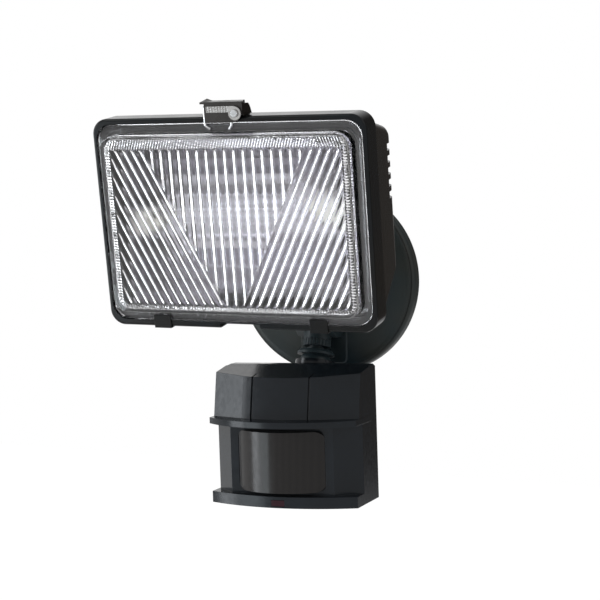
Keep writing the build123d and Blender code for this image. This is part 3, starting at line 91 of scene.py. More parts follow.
# The glass, in the lamp's frame: x across, z up, y back, from the middle of its bead.
BEAD_BACK, FLANGE_FRONT = 2.0 * MM, -1.5 * MM
BEAD_SOFT = 0.8 * MM          # rounding of the flange's front edge
BACK_SOFT = 0.3 * MM          # chamfer of its back edge
WELL = (79.0 * MM, 52.9 * MM, 8.0 * MM)    # hollow behind the panel: half sizes and corner
WELL_WALL = (                 # the same, down the well's wall to the flange's back
    (79.2 * MM, 53.0 * MM, 8.1 * MM), (79.5 * MM, 53.2 * MM, 8.2 * MM),
    (79.8 * MM, 53.5 * MM, 8.4 * MM),
)
WELL_CURL = 1.1 * MM          # rounding where the panel's back turns into the wall
CURL_LIMIT = 0.96             # the rounding stops short of upright
PANEL = 3.0 * MM              # thickness of the panel before its pattern
WALL_SLOPE = math.radians(4.0)
SHOULDER = 0.9 * MM           # rounding of the panel's front edge
FOOT_CORNER, WALL_CORNER, FRONT_CORNER = 9.5 * MM, 8.8 * MM, 7.3 * MM
FOOT = ((0.5 * MM, 0.0), (0.1 * MM, 0.15 * MM), (-0.1 * MM, 0.6 * MM))    # fillet: out and up
FIELD_TOP, FIELD_BOTTOM, FIELD_SIDE = 46.0 * MM, -50.0 * MM, 75.2 * MM
FIELD_FADE = 2.2 * MM         # the flutes run out over this length
V_FOOT, V_SPREAD = 6.0 * MM, 47.0 * MM     # half width of the V at its foot, and what it gains
FLUTE_LEAN = math.radians(27.2)
V_GROOVE = 0.35 * MM          # half width of the groove along the V
GROOVE_SHARE = 0.25           # share of the flutes' height that the groove keeps
RIB_SLANT = math.radians(20.0)
SLANT_TURN = 60.0 * MM        # right of this the ribs slant the other way
RIB_FADE = 0.5 * MM
GRID, QUICK_GRID = (372, 250), (200, 140)    # squares of the panel's back, across and up
SHARP = math.radians(50.0)    # edges over this angle stay sharp

BAND_WAVE = 0.314             # period of Blender's band wave at a scale of 1
MOST, MIDDLE = (0.3, 0.7), (0.35, 0.65)      # the part of a noise's range that a finish uses


# ---- node helpers -----------------------------------------------------------------
class Nodes:
    """A node tree under construction."""

    def __init__(self, tree):
        self.tree = tree
        tree.nodes.clear()

    def add(self, kind, **settings):
        node = self.tree.nodes.new(kind)
        for key, value in settings.items():
            setattr(node, key, value)
        return node

    def link(self, source, target):
        self.tree.links.new(source, target)

    def combined(self, operation, first, second):
        node = self.add("ShaderNodeMath", operation=operation)
        self.link(first, node.inputs[0])
        self.link(second, node.inputs[1])
        return node.outputs["Value"]

    def along(self, vector, way):
        """How much of a vector runs along a direction."""
        node = self.add("ShaderNodeVectorMath", operation="DOT_PRODUCT")
        self.link(vector, node.inputs[0])
        node.inputs[1].default_value = way
        return node.outputs["Value"]

    def spread(self, fac, low, high, to_low=0.0, to_high=1.0, kind="LINEAR"):
        """Map a value from one range on to another, clamped."""
        node = self.add("ShaderNodeMapRange", interpolation_type=kind)
        for name, value in (("From Min", low), ("From Max", high),
                            ("To Min", to_low), ("To Max", to_high)):
            node.inputs[name].default_value = value
        self.link(fac, node.inputs["Value"])
        return node.outputs["Result"]

    def mixed(self, fac, first, second):
        node = self.add("ShaderNodeMixShader")
        for source, target in zip((fac, first, second), node.inputs):
            self.link(source, target)
        return node.outputs["Shader"]


class Finish(Nodes):
    """A material under construction: a Principled shader and the nodes that feed it."""

    def __init__(self, name, colour, roughness, metallic=0.0):
        self.material = bpy.data.materials.new(name)
        self.material.use_nodes = True
        super().__init__(self.material.node_tree)
        self.output = self.add("ShaderNodeOutputMaterial")
        self.shader = self.add("ShaderNodeBsdfPrincipled")
        self.link(self.shader.outputs["BSDF"], self.output.inputs["Surface"])
        self.shader.inputs["Base Color"].default_value = (*colour, 1.0)
        self.shader.inputs["Roughness"].default_value = roughness
        self.shader.inputs["Metallic"].default_value = metallic
        self.place = self.add("ShaderNodeTexCoord").outputs["Object"]

    def stretched(self, scale):
        """The surface point with each axis multiplied, for streaks and grain."""
        mapping = self.add("ShaderNodeMapping")
        mapping.inputs["Scale"].default_value = scale
        self.link(self.place, mapping.inputs["Vector"])
        return mapping.outputs["Vector"]

    def noise(self, per_metre, detail=3.0, vector=None):
        """Noise with this many waves a metre."""
        node = self.add("ShaderNodeTexNoise")
        node.inputs["Scale"].default_value = per_metre
        node.inputs["Detail"].default_value = detail
        self.link(vector or self.place, node.inputs["Vector"])
        return node.outputs["Fac"]

    def cells(self, per_metre):
        """Distance from the middle of the nearest cell, for pores and specks."""
        node = self.add("ShaderNodeTexVoronoi")
        node.inputs["Scale"].default_value = per_metre
        self.link(self.place, node.inputs["Vector"])
        return node.outputs["Distance"]

    def bands(self, scale, direction):
        node = self.add("ShaderNodeTexWave", wave_type="BANDS", bands_direction=direction)
        node.inputs["Scale"].default_value = scale
        self.link(self.place, node.inputs["Vector"])
        return node.outputs["Fac"]

    def blend(self, fac, first, second):
        """A colour between two colours."""
        node = self.add("ShaderNodeMix", data_type="RGBA")
        self.link(fac, node.inputs["Factor"])
        for name, colour in (("A", first), ("B", second)):
            socket = [s for s in node.inputs if s.name == name and s.type == "RGBA"][0]
            socket.default_value = (*colour, 1.0)
        return [s for s in node.outputs if s.type == "RGBA"][0]

    def colour(self, socket):
        self.link(socket, self.shader.inputs["Base Color"])

    def roughness(self, socket):
        self.link(socket, self.shader.inputs["Roughness"])

    def mirror(self, strength):
        self.shader.inputs["Specular IOR Level"].default_value = strength

    def bump(self, height, depth):
        """Raise the surface by height times depth metres, on top of any earlier bump."""
        node = self.add("ShaderNodeBump")
        node.inputs["Distance"].default_value = depth
        node.inputs["Strength"].default_value = 1.0
        self.link(height, node.inputs["Height"])
        taken = self.shader.inputs["Normal"].links
        if taken:
            self.link(taken[0].from_socket, node.inputs["Normal"])
        self.link(node.outputs["Normal"], self.shader.inputs["Normal"])

    def share_with(self, share, other):
        """Give this share of the surface to another shader."""
        mix = self.mixed(share, self.shader.outputs["BSDF"], other)
        self.link(mix, self.output.inputs["Surface"])

    def soften_edges(self, radius):
        """Round the edges in shading only, as paint fills them."""
        node = self.add("ShaderNodeBevel", samples=4)
        node.inputs["Radius"].default_value = radius
        self.link(node.outputs["Normal"], self.shader.inputs["Normal"])


def paint(obj, material):
    obj.data.materials.clear()
    obj.data.materials.append(material)


# ---- finishes ---------------------------------------------------------------------
def finish_nodes(material, *names):
    for name in names:
        paint(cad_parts[name], material)


def scaled(colour, *factors):
    """A colour times one factor, or times one factor for each channel."""
    return tuple(min(1.0, c * k) for c, k in zip(colour, factors * 3))


def cast_paint(name, colour, roughness, settings, edge=0.6 * MM):
    """Satin enamel on cast metal: faint orange peel and a cool and warm drift."""
    made = Finish(name, colour, roughness)
    made.soften_edges(edge)
    drift = made.noise(18.0, 2.0)
    made.colour(made.blend(made.spread(drift, *MIDDLE),
                           scaled(colour, 0.8, 1.0, 1.1), scaled(colour, 1.4, 1.15, 0.9)))
    made.roughness(made.spread(made.noise(60.0, 4.0), *MOST,
                               roughness - 0.04, roughness + 0.07))
    made.bump(made.noise(settings.peel_per_metre, 2.0), settings.peel_depth)
    made.mirror(settings.gloss)
    return made.material


def moulded_plastic(name, colour, roughness):
    """Moulded plastic with a fine grain and a faint flow drift."""
    made = Finish(name, colour, roughness)
    made.soften_edges(0.4 * MM)
    made.colour(made.blend(made.spread(made.noise(35.0), *MOST),
                           scaled(colour, 0.9), scaled(colour, 1.25)))
    made.roughness(made.spread(made.noise(300.0), *MOST,
                               roughness - 0.04, roughness + 0.06))
    made.bump(made.noise(1800.0, 2.0), 2.0 * MICRON)
    made.mirror(0.2)
    return made.material


def plated_steel(name, colour, roughness, streaks=(60.0, 60.0, 900.0), dull=0.72):
    """Plated sheet or wire with drawing marks along it."""
    made = Finish(name, colour, roughness, metallic=1.0)
    marks = made.noise(1.0, 4.0, vector=made.stretched(streaks))
    made.colour(made.blend(made.noise(90.0, 4.0), scaled(colour, dull), colour))
    made.roughness(made.spread(marks, *MOST, roughness - 0.05, roughness + 0.15))
    made.bump(marks, 10.0 * MICRON)
    return made.material


def moulded_rubber(name, colour, pores):
    """Gasket rubber or foam: matt, with fine pores whose pits are darkened with painted shade."""
    made = Finish(name, colour, 0.85)
    pore_pits_and_shade = made.cells(pores)
    # painted shade: the pores' pits are coloured darker than the rubber around them
    made.colour(made.blend(made.spread(pore_pits_and_shade, 0.1, 0.6), scaled(colour, 0.6), scaled(colour, 1.3)))
    made.bump(pore_pits_and_shade, 0.1 * MM)
    return made.material


def fired_ceramic(name, colour):
    """Unglazed ceramic, with specks and a sintered grain."""
    made = Finish(name, colour, 0.7)
    made.soften_edges(0.3 * MM)
    specks = made.spread(made.cells(1500.0), 0.05, 0.15)
    made.colour(made.blend(specks, scaled(colour, 0.75), colour))
    made.bump(made.noise(2500.0), 30.0 * MICRON)
    return made.material


def circuit_laminate(name, colour):
    """Bare laminate with the weave of its glass cloth showing."""
    made = Finish(name, colour, 0.45)
    weave = made.bands(900.0, "DIAGONAL")
    made.colour(made.blend(weave, scaled(colour, 0.85), colour))
    made.bump(weave, 20.0 * MICRON)
    return made.material


def bright_reflector(name, colour, roughness):
    """Anodised lighting sheet: brushed lengthways, with soft dents from forming."""
    made = Finish(name, colour, roughness, metallic=1.0)
    brushed = made.noise(1.0, vector=made.stretched((12.0, 700.0, 700.0)))
    made.colour(made.blend(made.spread(made.noise(40.0), *MIDDLE),
                           scaled(colour, 0.9), colour))
    made.roughness(made.spread(brushed, *MOST, roughness - 0.03, roughness + 0.05))
    made.bump(made.noise(90.0, 1.0), 0.1 * MM)
    made.bump(brushed, 10.0 * MICRON)
    return made.material


def clear_glass(name, tint, roughness, let_through, waves=90.0, depth=60.0 * MICRON, ior=1.5):
    """Glass that refracts what the eye sees and lets the lamps' light through."""
    made = Finish(name, tint, roughness)
    made.shader.inputs["Transmission Weight"].default_value = 1.0
    made.shader.inputs["IOR"].default_value = ior
    made.colour(made.blend(made.noise(30.0, 2.0), scaled(tint, 0.97), tint))
    made.roughness(made.spread(made.noise(260.0), 0.45, 0.75, roughness, roughness + 0.03))
    made.bump(made.noise(waves, 2.0), depth)
    clear = made.add("ShaderNodeBsdfTransparent").outputs["BSDF"]
    shadow = made.add("ShaderNodeLightPath").outputs["Is Shadow Ray"]
    made.share_with(made.spread(shadow, 0.0, 1.0, 0.0, let_through), clear)
    return made.material


# ---- properties -------------------------------------------------------------------
class StudioSettings(PropertyGroup):
    """Camera, lamps, room and floor."""
    lens: FloatProperty(name="Lens", description="Focal length for a 36 mm sensor",
                        default=90.78, min=10, max=300, subtype="DISTANCE_CAMERA")
    camera_place: FloatVectorProperty(name="Camera", description="Where the camera stands",
                                      default=(0.38268, -0.98313, 0.05571), subtype="XYZ",
                                      unit="LENGTH")
    azimuth: FloatProperty(name="Azimuth", description="How far round the camera stands",
                           default=math.radians(22.44), subtype="ANGLE")
    elevation: FloatProperty(name="Elevation", description="How far the camera looks down",
                             default=math.radians(3.79), subtype="ANGLE")
    floor_drop: FloatProperty(name="Floor drop",
                              description="Floor below the light's lowest point",
                              default=0.45, min=0, unit="LENGTH")
    floor_colour: FloatVectorProperty(name="Floor colour", description="Pale studio floor",
                                      default=(0.86, 0.86, 0.86), subtype="COLOR", min=0, max=1)
    side_glow: FloatProperty(name="Side softbox",
                             description="Brightness of the tall left softbox",
                             default=7.0, min=0)
    top_glow: FloatProperty(name="Top softbox", description="Brightness of the upper left softbox",
                            default=3.8, min=0)
    low_glow: FloatProperty(name="Low softbox", description="Brightness of the low left softbox",
                            default=4.0, min=0)
    warm_glow: FloatProperty(name="Warm card",
                             description="Brightness of the warm lamp at the upper right",
                             default=0.8, min=0)
    room_level: FloatProperty(name="Room", description="Light that the studio's walls give",
                              default=0.6, min=0, max=1, subtype="FACTOR")
    card_level: FloatProperty(name="Dark card",
                              description="How bright the dark card is in reflections",
                              default=0.1, min=0, max=1, subtype="FACTOR")
    card_way: FloatVectorProperty(name="Card's place", description="Direction of the dark card",
                                  default=(0.5, 0.866, 0.0), subtype="DIRECTION")


class PaintSettings(PropertyGroup):
    """Enamel on the cast metal pieces."""
    canopy: FloatVectorProperty(name="Canopy", description="Enamel of the wall canopy and arm",
                                default=(0.021, 0.0275, 0.030), subtype="COLOR", min=0, max=1)
    housing: FloatVectorProperty(name="Housing", description="Enamel of the lamp housing",
                                 default=(0.0045, 0.0055, 0.0065), subtype="COLOR", min=0, max=1)
    satin: FloatProperty(name="Canopy satin", description="Roughness of the canopy's enamel",
                         default=0.36, min=0, max=1, subtype="FACTOR")
    roughness: FloatProperty(name="Roughness", description="Polish of the housing's enamel",
                             default=0.16, min=0, max=1, subtype="FACTOR")
    gloss: FloatProperty(name="Gloss", description="Mirror strength of the enamel",
                         default=0.16, min=0, max=1, subtype="FACTOR")
    peel_per_metre: FloatProperty(name="Peel", description="Orange peel waves per metre",
                                  default=600.0, min=1)
    peel_depth: FloatProperty(name="Peel depth", description="Height of the orange peel",
                              default=4.0 * MICRON, min=0, unit="LENGTH")


class GlassSettings(PropertyGroup):
    """Pressed glass of the lamp, measured from the middle of its bead."""
    half_width: FloatProperty(name="Half width", description="Flange, middle to side",
                              default=85.9 * MM, unit="LENGTH")
    half_height: FloatProperty(name="Half height", description="Flange, middle to top",
                               default=60.5 * MM, unit="LENGTH")
    corner: FloatProperty(name="Corner", description="Corner radius of the flange",
                          default=10 * MM, unit="LENGTH")
    step_x: FloatProperty(name="Side step", description="Flange width at the sides",
                          default=4.5 * MM, unit="LENGTH")
    step_z: FloatProperty(name="Top step", description="Flange width at top and bottom",
                          default=5.5 * MM, unit="LENGTH")
    rise: FloatProperty(name="Rise", description="How far the panel stands out of its flange",
                        default=8.5 * MM, unit="LENGTH")
    flute_height: FloatProperty(name="Flutes", description="Height of the flutes",
                                default=1.5 * MM, unit="LENGTH")
    mid_pitch: FloatProperty(name="Middle pitch", description="Spacing of the upright flutes",
                             default=6.0 * MM, unit="LENGTH")
    side_pitch: FloatProperty(name="Side pitch", description="Spacing of the leaning flutes",
                              default=5.0 * MM, unit="LENGTH")
    rib_pitch: FloatProperty(name="Rib pitch", description="Spacing of the border's fine ribs",
                             default=1.75 * MM, unit="LENGTH")
    rib_height: FloatProperty(name="Ribs", description="Height of the border's fine ribs",
                              default=0.8 * MM, unit="LENGTH")
    tint: FloatVectorProperty(name="Tint", description="Colour of the glass",
                              default=(0.97, 0.965, 0.975), subtype="COLOR", min=0, max=1)


class MetalSettings(PropertyGroup):
    """Reflector, latch, strap and screws."""
    reflector: FloatVectorProperty(name="Reflector", description="Anodised lighting sheet",
                                   default=(0.5, 0.49, 0.53), subtype="COLOR", min=0, max=1)
    zinc: FloatVectorProperty(name="Zinc plate", description="Strap and holder brackets",
                              default=(0.62, 0.63, 0.62), subtype="COLOR", min=0, max=1)
    latch: FloatVectorProperty(name="Latch wire", description="Bright spring steel",
                               default=(0.75, 0.76, 0.77), subtype="COLOR", min=0, max=1)
    blued: FloatVectorProperty(name="Latch plate", description="Dark steel of the latch plates",
                               default=(0.05, 0.047, 0.045), subtype="COLOR", min=0, max=1)
    # painted highlight: the knurled grip's steel is lighter than the latch plate, standing in for
    # the highlights on its teeth
    teeth_highlight: FloatVectorProperty(name="Latch teeth", description="Worn steel of the knurled grip",
                               default=(0.42, 0.41, 0.4), subtype="COLOR", min=0, max=1)
    screws: FloatVectorProperty(name="Dark screws", description="Black oxide screws",
                                default=(0.12, 0.12, 0.13), subtype="COLOR", min=0, max=1)


class SensorSettings(PropertyGroup):
    """Motion sensor's plastics."""
    shell: FloatVectorProperty(name="Shell", description="Glossy dark plastic",
                               default=(0.006, 0.0085, 0.0115), subtype="COLOR", min=0, max=1)
    roughness: FloatProperty(name="Roughness", description="Roughness of the shell",
                             default=0.19, min=0, max=1, subtype="FACTOR")
    window: FloatVectorProperty(name="Window", description="Smoky brownish heat window",
                                default=(0.011, 0.0095, 0.009), subtype="COLOR", min=0, max=1)
    indicator: FloatVectorProperty(name="Indicator", description="Dark maroon light window",
                                   default=(0.02, 0.003, 0.007), subtype="COLOR", min=0, max=1)
    segment_pitch: FloatProperty(name="Window ribs",
                                 description="Spacing of the ribs behind the window",
                                 default=4.2 * MM, unit="LENGTH")


# ---- operators --------------------------------------------------------------------
class SECURITYLIGHT_OT_studio(Operator):
    """Camera at the photograph's angle, softboxes, pale floor and white background"""
    bl_idname = "securitylight.studio"
    bl_label = "Studio"

    def execute(self, context):
        settings = context.scene.securitylight_studio
        self.camera(context, settings)
        self.room(context, settings)
        self.floor(settings)
        for name, glow, place, size, colour in SOFTBOXES:
            self.softbox(name, place, size, getattr(settings, glow), colour)
        context.scene.view_settings.view_transform = "Standard"
        return {"FINISHED"}

    @staticmethod
    def camera(context, settings):
        data = bpy.data.cameras.new("camera")
        data.lens = settings.lens
        data.sensor_width = SENSOR_WIDTH
        data.clip_start, data.clip_end = VIEW_REACH
        camera = bpy.data.objects.new("camera", data)
        context.collection.objects.link(camera)
        a, e = settings.azimuth, settings.elevation
        back = Vector((math.sin(a) * math.cos(e), -math.cos(a) * math.cos(e), math.sin(e)))
        right = Vector((math.cos(a), math.sin(a), 0.0))
        up = back.cross(right)
        turn = Matrix((right, up, back)).transposed().to_4x4()
        camera.matrix_world = Matrix.Translation(settings.camera_place) @ turn
        context.scene.camera = camera

    @staticmethod
    def room(context, settings):
        """Plain walls for the light they give, the white background that eye, glass and
        metal see, and a dark card behind at the right that gloss alone sees."""
        world = bpy.data.worlds.new("studio")
        world.use_nodes = True
        made = Nodes(world.node_tree)

        def background(colour, strength):
            node = made.add("ShaderNodeBackground")
            node.inputs["Color"].default_value = (*colour, 1.0)
            node.inputs["Strength"].default_value = strength
            return node.outputs["Background"]

        seen = made.add("ShaderNodeLightPath").outputs
        way = made.add("ShaderNodeTexCoord").outputs["Generated"]
        card = made.spread(made.along(way, settings.card_way), *CARD_EDGE, kind="SMOOTHSTEP")
        carded = made.combined("MULTIPLY", seen["Is Glossy Ray"], card)
        mirrored = made.combined("MAXIMUM", seen["Is Glossy Ray"], seen["Is Transmission Ray"])
        whole = made.mixed(made.combined("MAXIMUM", seen["Is Camera Ray"], mirrored),
                           background((0.97, 0.98, 1.0), settings.room_level),
                           background((1.0, 1.0, 1.0), 1.0))
        whole = made.mixed(carded, whole, background((1.0, 0.88, 0.78), settings.card_level))
        made.link(whole, made.add("ShaderNodeOutputWorld").inputs["Surface"])
        context.scene.world = world

    @staticmethod
    def floor(settings):
        """Pale floor, shown white but for the shadow that it keeps. Toward the dark card,
        glass and metal see its own colour."""
        level = CAD_BOX[0].z - settings.floor_drop
        mesh = bpy.data.meshes.new("floor")
        corners = [(x * FLOOR_HALF, y * FLOOR_HALF, level)
                   for x, y in ((-1, -1), (1, -1), (1, 1), (-1, 1))]
        mesh.from_pydata(corners, [], [(0, 1, 2, 3)])
        floor = bpy.data.objects.new("floor", mesh)
        bpy.context.collection.objects.link(floor)
        made = Finish("studio_floor", settings.floor_colour, 0.8)
        made.colour(made.blend(made.noise(3.0), settings.floor_colour,
                               scaled(settings.floor_colour, 0.97)))
        seen = made.add("ShaderNodeLightPath").outputs
        mirrored = made.combined("MAXIMUM", seen["Is Glossy Ray"], seen["Is Transmission Ray"])
        way = made.add("ShaderNodeVectorMath", operation="NORMALIZE")
        made.link(made.place, way.inputs[0])
        off_card = made.spread(made.along(way.outputs["Vector"], settings.card_way),
                               *CARD_EDGE, 1.0, 0.0)
        shown = made.combined("MAXIMUM", made.combined("MULTIPLY", mirrored, off_card),
                              seen["Is Camera Ray"])
        glow = made.add("ShaderNodeEmission")
        glow.inputs["Strength"].default_value = WHITE_GLOW
        made.share_with(made.spread(shown, 0.0, 1.0, 0.0, WHITE_SHARE), glow.outputs["Emission"])
        paint(floor, made.material)

    @staticmethod
    def softbox(name, place, size, glow, colour):
        """A rectangular lamp whose face shines at glow times white."""
        data = bpy.data.lights.new(name, "AREA")
        data.shape = "RECTANGLE"
        data.size, data.size_y = size
        data.energy = glow * math.pi * size[0] * size[1]
        data.color = colour
        lamp = bpy.data.objects.new(name, data)
        bpy.context.collection.objects.link(lamp)
        turn = (Vector(LAMP_TARGET) - Vector(place)).to_track_quat("-Z", "Y").to_matrix()
        lamp.matrix_world = Matrix.Translation(place) @ turn.to_4x4()


class SECURITYLIGHT_OT_castings(Operator):
    """Paint the canopy, arm, neck, housing and stem"""
    bl_idname = "securitylight.castings"
    bl_label = "Painted castings"

    def execute(self, context):
        settings = context.scene.securitylight_paint
        canopy = cast_paint("canopy_enamel", settings.canopy, settings.satin, settings)
        housing = cast_paint("housing_enamel", settings.housing, settings.roughness, settings,
                             0.5 * MM)
        finish_nodes(canopy, "canopy", "arm_block", "lamp_neck", "swivel_nut", "ball_stud",
                     "ring_nut")
        finish_nodes(housing, "lamp_housing", "lower_tabs", "latch_base", "wing_nut")
        return {"FINISHED"}


class SECURITYLIGHT_OT_glass(Operator):
    """Press the lamp's glass: bead, flange, raised panel, V of flutes and ribbed border"""
    bl_idname = "securitylight.glass"
    bl_label = "Pressed glass"

    def execute(self, context):
        settings = context.scene.securitylight_glass
        mesh = self.pressed(settings)
        obj = bpy.data.objects.new("pressed_glass", mesh)
        context.collection.objects.link(obj)
        paint(obj, clear_glass("pressed_clear_glass", settings.tint, 0.03, 0.85))
        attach(obj, "lamp_head")
        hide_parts("glass_lens")
        quartz = clear_glass("quartz_tube", (0.97, 0.98, 1.0), 0.02, 0.9, waves=300.0,
                             depth=30.0 * MICRON, ior=1.46)
        finish_nodes(quartz, "halogen_lamp")
        return {"FINISHED"}

    @staticmethod
    def relief(settings, x, z):
        """Height of the pressed pattern behind the panel at (x, z)."""
        def rounded(phase):
            s = 2.0 * (phase - np.floor(phase)) - 1.0
            return 0.5 + 0.5 * np.cos(math.pi * s)

        # upright flutes inside the V, leaning ones beside it
        climb = (z - FIELD_BOTTOM) / (FIELD_TOP - FIELD_BOTTOM)
        past = (np.abs(x) - V_FOOT - climb * V_SPREAD) * math.cos(FLUTE_LEAN)
        middle = rounded(x / settings.mid_pitch + 0.5)
        sides = rounded(past / settings.side_pitch)
        flutes = np.where(past < 0, middle, sides) * settings.flute_height
        flutes *= np.clip(np.abs(past) / V_GROOVE, GROOVE_SHARE, 1.0)
        end = np.minimum(np.minimum(FIELD_TOP - z, z - FIELD_BOTTOM), FIELD_SIDE - np.abs(x))
        flutes *= np.sqrt(np.clip(end / FIELD_FADE, 0.0, 1.0))

        # fine ribs round the flutes: slanting above and below, level ones at the sides
        lean = math.tan(RIB_SLANT) * np.where(x > SLANT_TURN, -1.0, 1.0)
        upper = rounded((x - (z - FIELD_TOP) * lean) / settings.rib_pitch)
        level = rounded(z / settings.rib_pitch)
        ribs = np.where(np.abs(x) > FIELD_SIDE, level, upper) * settings.rib_height
        ribs *= np.clip(-end / RIB_FADE, 0.0, 1.0)
        return np.where(end < 0, ribs, flutes)

    def pressed(self, settings):
        """The glass as one closed mesh: the pressed panel's back, then rings out over the
        bead and up the wall to the flat front."""
        half_w, half_h, corner = settings.half_width, settings.half_height, settings.corner
        wall_w, wall_h = half_w - settings.step_x, half_h - settings.step_z
        face = FLANGE_FRONT - settings.rise
        well_w, well_h, well_corner = WELL
        flat_w, flat_h = well_w - well_corner, well_h - well_corner
        columns, rows = GRID

        # the panel's back: a grid whose rows shorten into the corner rounding
        z = np.linspace(-well_h, well_h, rows + 1)
        into = np.clip(np.abs(z) - flat_h, 0.0, well_corner)
        width = flat_w + np.sqrt(well_corner ** 2 - into ** 2)
        x = np.linspace(-1.0, 1.0, columns + 1)[None, :] * width[:, None]
        z = np.repeat(z[:, None], columns + 1, axis=1)
        edge = np.minimum(width[:, None] - np.abs(x), well_h - np.abs(z))
        near = np.clip(1.0 - edge / WELL_CURL, 0.0, CURL_LIMIT)
        y = (face + PANEL + self.relief(settings, x, z)
             + WELL_CURL * (1.0 - np.sqrt(1.0 - near * near)))
        points = np.stack([x, y, z], axis=-1).reshape(-1, 3).tolist()
        number = np.arange((rows + 1) * (columns + 1)).reshape(rows + 1, columns + 1)
        faces = np.stack([number[:-1, :-1], number[:-1, 1:], number[1:, 1:], number[1:, :-1]],
                         axis=-1).reshape(-1, 4)[:, ::-1].tolist()
        rim = (list(number[0, :-1]) + list(number[:-1, -1]) + list(number[-1, :0:-1])
               + list(number[:0:-1, 0]))

        # every rim point as a corner's middle and a direction out from it
        spots = np.array([points[i] for i in rim])
        corner_x = np.clip(spots[:, 0], -flat_w, flat_w)
        corner_z = np.clip(spots[:, 2], -flat_h, flat_h)
        out = np.stack([spots[:, 0] - corner_x, spots[:, 2] - corner_z], axis=-1)
        out /= np.maximum(np.linalg.norm(out, axis=1, keepdims=True), 1e-9)
        loops = [rim]

        def ring(w, h, radius, y_at):
            """The next ring: a rounded rectangle of these half sizes."""
            place = np.stack([corner_x * (w - radius) / flat_w + out[:, 0] * radius,
                              np.full(len(rim), y_at),
                              corner_z * (h - radius) / flat_h + out[:, 1] * radius], axis=-1)
            loops.append(list(range(len(points), len(points) + len(rim))))
            points.extend(place.tolist())

        def grown(w, h, radius, by, y_at):
            ring(w + by, h + by, radius + by, y_at)

        # out of the well, across the flange's back and round its edge
        for (w, h, radius), depth in zip(WELL_WALL, (face + 5.0 * MM, BEAD_BACK - 0.5 * MM,
                                                     BEAD_BACK)):
            ring(w, h, radius, depth)
        grown(half_w, half_h, corner, -BACK_SOFT, BEAD_BACK)
        ring(half_w, half_h, corner, BEAD_BACK - BACK_SOFT)
        ring(half_w, half_h, corner, FLANGE_FRONT + BEAD_SOFT)
        for turn in (22.5, 45.0, 67.5, 90.0):
            a = math.radians(turn)
            grown(half_w, half_h, corner, -BEAD_SOFT * (1 - math.cos(a)),
                  FLANGE_FRONT + BEAD_SOFT * (1 - math.sin(a)))

        # in across its front, through a fillet, and up the wall to the panel's front
        for out_by, up_by in FOOT:
            grown(wall_w, wall_h, FOOT_CORNER, out_by, FLANGE_FRONT - up_by)
        lean = (settings.rise - SHOULDER) * math.tan(WALL_SLOPE)
        wall_w, wall_h = wall_w - lean, wall_h - lean
        ring(wall_w, wall_h, WALL_CORNER, face + SHOULDER)
        for turn in (20.0, 40.0, 60.0, 76.0, 90.0):
            a = math.radians(turn)
            grown(wall_w, wall_h, WALL_CORNER, -SHOULDER * (1 - math.cos(a)),
                  face + SHOULDER * (1 - math.sin(a)))
        ring(wall_w - SHOULDER - 0.05 * MM, wall_h - SHOULDER - 0.05 * MM, FRONT_CORNER, face)
        for first, second in zip(loops, loops[1:]):
            for i in range(len(rim)):
                j = (i + 1) % len(rim)
                faces.append((int(first[i]), int(first[j]), second[j], second[i]))
        faces.append(tuple(loops[-1]))

        mesh = bpy.data.meshes.new("pressed_glass")
        mesh.from_pydata(points, [], faces)
        mesh.transform(LAMP_FRAME)
        mesh.shade_smooth()
        mesh.set_sharp_from_angle(angle=SHARP)
        turned = bmesh.new()
        turned.from_mesh(mesh)
        bmesh.ops.recalc_face_normals(turned, faces=turned.faces)
        turned.to_mesh(mesh)
        turned.free()
        mesh.validate()
        return mesh


class SECURITYLIGHT_OT_lamp_room(Operator):
    """Finish the reflector, the lamp's caps and holders and their brackets"""
    bl_idname = "securitylight.lamp_room"
    bl_label = "Reflector and holders"

    def execute(self, context):
        settings = context.scene.securitylight_metal
        finish_nodes(bright_reflector("reflector_sheet", settings.reflector, 0.09), "reflector",
                     "reflector_ends")
        zinc = plated_steel("zinc_plate", settings.zinc, 0.35)
        finish_nodes(zinc, "holder_brackets", "mounting_strap", "reflector_posts")
        finish_nodes(fired_ceramic("lamp_ceramic", (0.82, 0.8, 0.74)), "lamp_caps")
        finish_nodes(fired_ceramic("holder_ceramic", (0.86, 0.84, 0.8)), "lamp_holders")
        return {"FINISHED"}


class SECURITYLIGHT_OT_latch(Operator):
    """Finish the latch: dark plates, bright wire, knurled grip and screw"""
    bl_idname = "securitylight.latch"
    bl_label = "Latch"

    def execute(self, context):
        settings = context.scene.securitylight_metal
        finish_nodes(plated_steel("latch_plate", settings.blued, 0.3, (300.0, 30.0, 300.0), 0.6),
                     "latch_lever")
        # painted highlight: the grip's lighter steel stands in for the highlights on its teeth
        finish_nodes(plated_steel("latch_knurl_highlight", settings.teeth_highlight, 0.25, (30.0, 30.0, 600.0), 0.5),
                     "latch_grip")
        finish_nodes(plated_steel("latch_wire", settings.latch, 0.22, (40.0, 40.0, 900.0)),
                     "latch_bail", "latch_pin")
        finish_nodes(plated_steel("latch_screw_steel", scaled(settings.latch, 0.6), 0.3),
                     "latch_screw")
        return {"FINISHED"}


class SECURITYLIGHT_OT_fasteners(Operator):
    """Finish the screws, washers, bolts and nuts"""
    bl_idname = "securitylight.fasteners"
    bl_label = "Screws and bolts"

    def execute(self, context):
        settings = context.scene.securitylight_metal
        finish_nodes(plated_steel("black_oxide", settings.screws, 0.4, (500.0, 500.0, 60.0), 0.6),
                     "centre_screw", "arm_block_screws", "tilt_bolt", "clamp_screw", "clamp_nut",
                     "shell_screws", "swivel_washer")
        return {"FINISHED"}


class SECURITYLIGHT_OT_seals(Operator):
    """Finish the foam, rubber and silicone seals"""
    bl_idname = "securitylight.seals"
    bl_label = "Seals"

    def execute(self, context):
        finish_nodes(moulded_rubber("canopy_foam", (0.03, 0.03, 0.03), 900.0), "canopy_gasket")
        finish_nodes(moulded_rubber("glass_silicone", (0.014, 0.014, 0.015), 2500.0),
                     "lamp_gasket", "centre_screw_washer")
        return {"FINISHED"}


